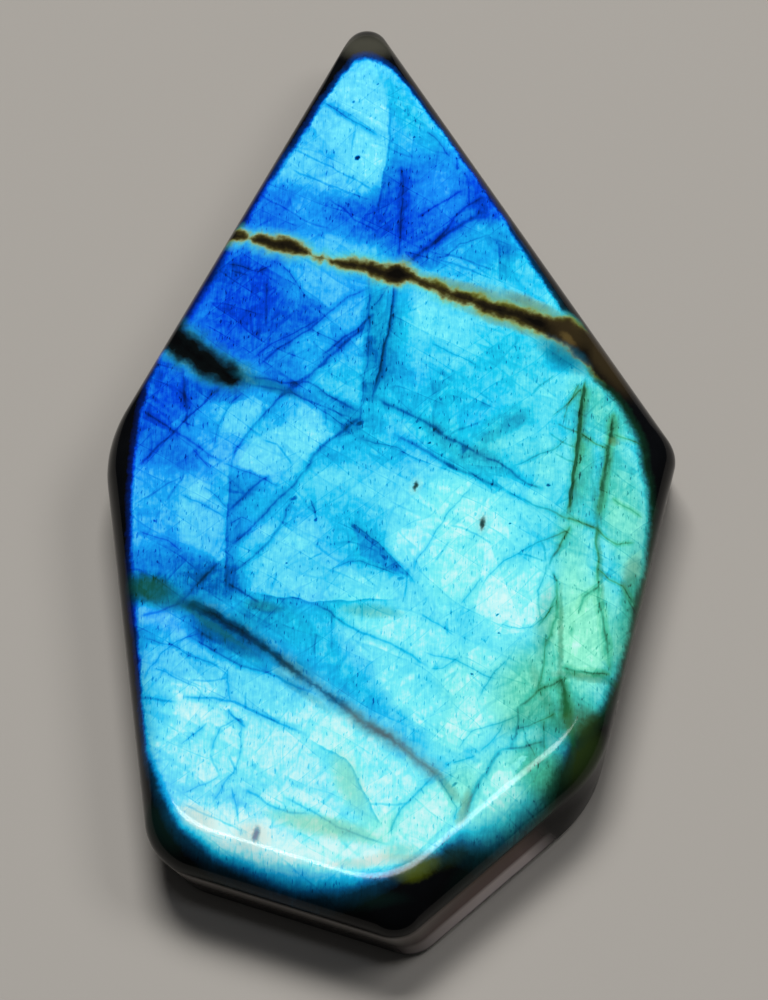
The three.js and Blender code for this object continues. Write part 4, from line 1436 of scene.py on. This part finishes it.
def faded_flash(r, x, y, light, hue, bright):
    """The flash dims inside its edge, and turns greener there at the near end and at the right."""
    light = r.clamped(light) * (EDGE_LIGHT + bright * (1.0 - EDGE_LIGHT))
    near_or_right = r.greater(r.climb(y, *GREEN_NEAR_END), r.climb(x, *GREEN_RIGHT))
    hue = r.blend((1 - bright) * near_or_right, hue, 0.64 + r.climb(x, 0.0, 7.143) * 0.36)
    return light, hue


def stone_finish(colours, name, span):
    """The polished stone: a flash of light and hue over the top, seams, stains, a near black body, and
    painted sheen, reflection and shade on its rim and near wall.

    It holds the marks that reach into a span across the stone, from a lowest to a highest y.
    """
    material = bpy.data.materials.new(name)
    material.use_nodes = True
    material.node_tree.nodes.clear()
    r = Recipe(material.node_tree)

    metres = r.out("ShaderNodeTexCoord", None, None, "Object")
    solid_place = r.scaled(metres, 1 / MM)
    flat = r.vector("MULTIPLY_ADD", solid_place, (1.0, 1.0, 0.0), (0.0, 0.0, 1.0))
    line_place = r.vector("ADD", flat, straying(r, flat, 0.9, 0.24))
    place = r.vector("ADD", line_place, straying(r, flat, 5.0, 0.16))
    x, y, z = r.parts(solid_place)

    light, hue = flash_pattern(r, flat, line_place, place, span)
    bright, glow = flash_strength(r, place)
    light, hue = faded_flash(r, x, y, light, hue, bright)
    colour = flash_colour(r, light, hue, colours)

    mottle = r.noise(flat, 1.4, 2.0)
    for seam in reaching(SEAMS, span, lambda seam: line_extent(seam["upper"] + seam["lower"], 1.0)):
        colour = lay_seam(r, place, seam, mottle, colour)
    stains = reaching(FLASH_STAINS, span, lambda stain: oval_extent(stain[1:6]))
    colour = in_layers(r, "stains", ("place", "colour"), (place, colour), lay_stains, stains)

    grain = r.noise(solid_place, 0.9, 6.0, "3D")
    body = r.out("ShaderNodeHueSaturation", None, {"Value": 0.5 + grain, "Color": (*colours.body, 1.0)})
    dark = dark_parts(r, flat, place, z, body, span)
    colour = r.blend(glow * r.climb(z, *RISE_TO_FLASH), dark, colour, "RGBA")

    pits = r.noise(solid_place, 2.0, 2.0, "3D")
    bump = r.out("ShaderNodeBump", None, {"Strength": 0.06, "Distance": 0.02 * MM, "Height": pits})
    roughness = 0.04 + grain * 0.10
    shader = r.out(
        "ShaderNodeBsdfPrincipled",
        None,
        {"Base Color": colour, "Roughness": roughness, "Specular IOR Level": 0.2, "Normal": bump},
    )
    r.make("ShaderNodeOutputMaterial", None, {"Surface": shader})
    return material


class LABRADORITE_OT_make_stone(bpy.types.Operator):
    """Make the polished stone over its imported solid"""

    bl_idname = "labradorite.make_stone"
    bl_label = "Make the stone"

    def execute(self, context):
        scene = context.scene
        finishes = [
            stone_finish(scene.flash_colours, f"polished labradorite {i}", (low, high))
            for i, (low, high) in enumerate(zip(BANDS, BANDS[1:]), 1)
        ]
        stone = stone_object(scene.stone_sizes, finishes[0])
        lay_in_bands(stone.data, finishes)
        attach(stone, "root")
        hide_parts("labradorite")
        return {"FINISHED"}


# Where the camera looks from: a point on the stone, in millimetres, how steeply and from how far,
# and the focal length that fits the stone into a picture 768 wide and 1000 high.
LOOKED_AT = Vector((-0.383, -2.875, 4.0)) * MM
CAMERA_ELEVATION = math.radians(64)
CAMERA_DISTANCE = 220 * MM
CAMERA_LENS = 158.4

# Half the floor's width, in metres.
FLOOR_HALF = 1.5

# Each light's elevation and azimuth in degrees, its distance, and its width and depth. Azimuth 0 is over
# the stone's pointed end.
KEY_LIGHT = (45, -6, 1.8, (0.9, 0.5))
SIDE_LIGHT = (42, 58, 1.0, (0.5, 0.3))
OVERHEAD_LIGHT = (78, 0, 0.8, (0.40, 0.08))


def plain_floor(colour):
    corners = [(x * FLOOR_HALF, y * FLOOR_HALF, 0.0) for x, y in ((-1, -1), (1, -1), (1, 1), (-1, 1))]
    mesh = bpy.data.meshes.new("floor")
    mesh.from_pydata(corners, [], [(0, 1, 2, 3)])
    floor = bpy.data.objects.new("floor", mesh)
    bpy.context.scene.collection.objects.link(floor)
    material = bpy.data.materials.new("pale floor")
    material.use_nodes = True
    material.node_tree.nodes.clear()
    r = Recipe(material.node_tree)
    place = r.out("ShaderNodeTexCoord", None, None, "Object")
    cloud = r.noise(place, 40.0, 3.0, "3D")
    shade = r.out("ShaderNodeHueSaturation", None, {"Value": 0.99 + cloud * 0.02, "Color": (*colour, 1.0)})
    shader = r.out("ShaderNodeBsdfPrincipled", None, {"Base Color": shade, "Roughness": 0.6})
    r.make("ShaderNodeOutputMaterial", None, {"Surface": shader})
    mesh.materials.append(material)
    return floor


def soft_light(name, elevation, azimuth, distance, size, power):
    """A softbox aimed at the stone."""
    data = bpy.data.lights.new(name, "AREA")
    data.shape = "RECTANGLE"
    data.size = size[0]
    data.size_y = size[1]
    data.energy = power
    light = bpy.data.objects.new(name, data)
    bpy.context.scene.collection.objects.link(light)
    rise, turn = math.radians(elevation), math.radians(azimuth)
    towards = Vector((math.sin(turn) * math.cos(rise), math.cos(turn) * math.cos(rise), math.sin(rise)))
    light.location = towards * distance
    light.rotation_euler = towards.to_track_quat("Z", "Y").to_euler()
    return light


class LABRADORITE_OT_set_stage(bpy.types.Operator):
    """Set the floor, the lights and the camera"""

    bl_idname = "labradorite.set_stage"
    bl_label = "Set the stage"

    def execute(self, context):
        scene = context.scene
        settings = scene.stage_settings
        plain_floor(settings.floor_colour)
        key = soft_light("key", *KEY_LIGHT, settings.key_power)
        side = soft_light("side", *SIDE_LIGHT, settings.side_power)
        overhead = soft_light("overhead", *OVERHEAD_LIGHT, settings.overhead_power)
        # the polish shows only the overhead light's image, as a line along the near ridge
        key.visible_glossy = False
        side.visible_glossy = False
        overhead.visible_diffuse = False

        world = bpy.data.worlds.new("room")
        world.use_nodes = True
        world.node_tree.nodes["Background"].inputs["Strength"].default_value = settings.surround
        world.node_tree.nodes["Background"].inputs["Color"].default_value = (0.95, 0.97, 1.0, 1.0)
        scene.world = world
        scene.view_settings.view_transform = "Standard"

        data = bpy.data.cameras.new("camera")
        data.lens = CAMERA_LENS
        data.clip_start = 0.005
        data.clip_end = 20.0
        camera = bpy.data.objects.new("camera", data)
        scene.collection.objects.link(camera)
        backward = Vector((0.0, -math.cos(CAMERA_ELEVATION), math.sin(CAMERA_ELEVATION)))
        camera.location = LOOKED_AT + backward * CAMERA_DISTANCE
        camera.rotation_euler = backward.to_track_quat("Z", "Y").to_euler()
        scene.camera = camera
        return {"FINISHED"}


class LABRADORITE_PT_panel(bpy.types.Panel):
    bl_label = "Labradorite"
    bl_idname = "LABRADORITE_PT_panel"
    bl_space_type = "VIEW_3D"
    bl_region_type = "UI"
    bl_category = "Labradorite"

    def draw(self, context):
        scene = context.scene
        for group in (scene.stone_sizes, scene.flash_colours, scene.stage_settings):
            box = self.layout.box()
            for name in group.bl_rna.properties.keys():
                if name not in {"rna_type", "name"}:
                    box.prop(group, name)
        self.layout.operator(LABRADORITE_OT_make_stone.bl_idname)
        self.layout.operator(LABRADORITE_OT_set_stage.bl_idname)


CLASSES = (
    StoneSizes,
    FlashColours,
    StageSettings,
    LABRADORITE_OT_make_stone,
    LABRADORITE_OT_set_stage,
    LABRADORITE_PT_panel,
)


def register():
    for one in CLASSES:
        bpy.utils.register_class(one)
    bpy.types.Scene.stone_sizes = bpy.props.PointerProperty(type=StoneSizes)
    bpy.types.Scene.flash_colours = bpy.props.PointerProperty(type=FlashColours)
    bpy.types.Scene.stage_settings = bpy.props.PointerProperty(type=StageSettings)


def unregister():
    del bpy.types.Scene.stage_settings
    del bpy.types.Scene.flash_colours
    del bpy.types.Scene.stone_sizes
    for one in reversed(CLASSES):
        bpy.utils.unregister_class(one)


def main():
    register()
    bpy.ops.labradorite.make_stone()
    bpy.ops.labradorite.set_stage()


if __name__ == "__main__":
    main()
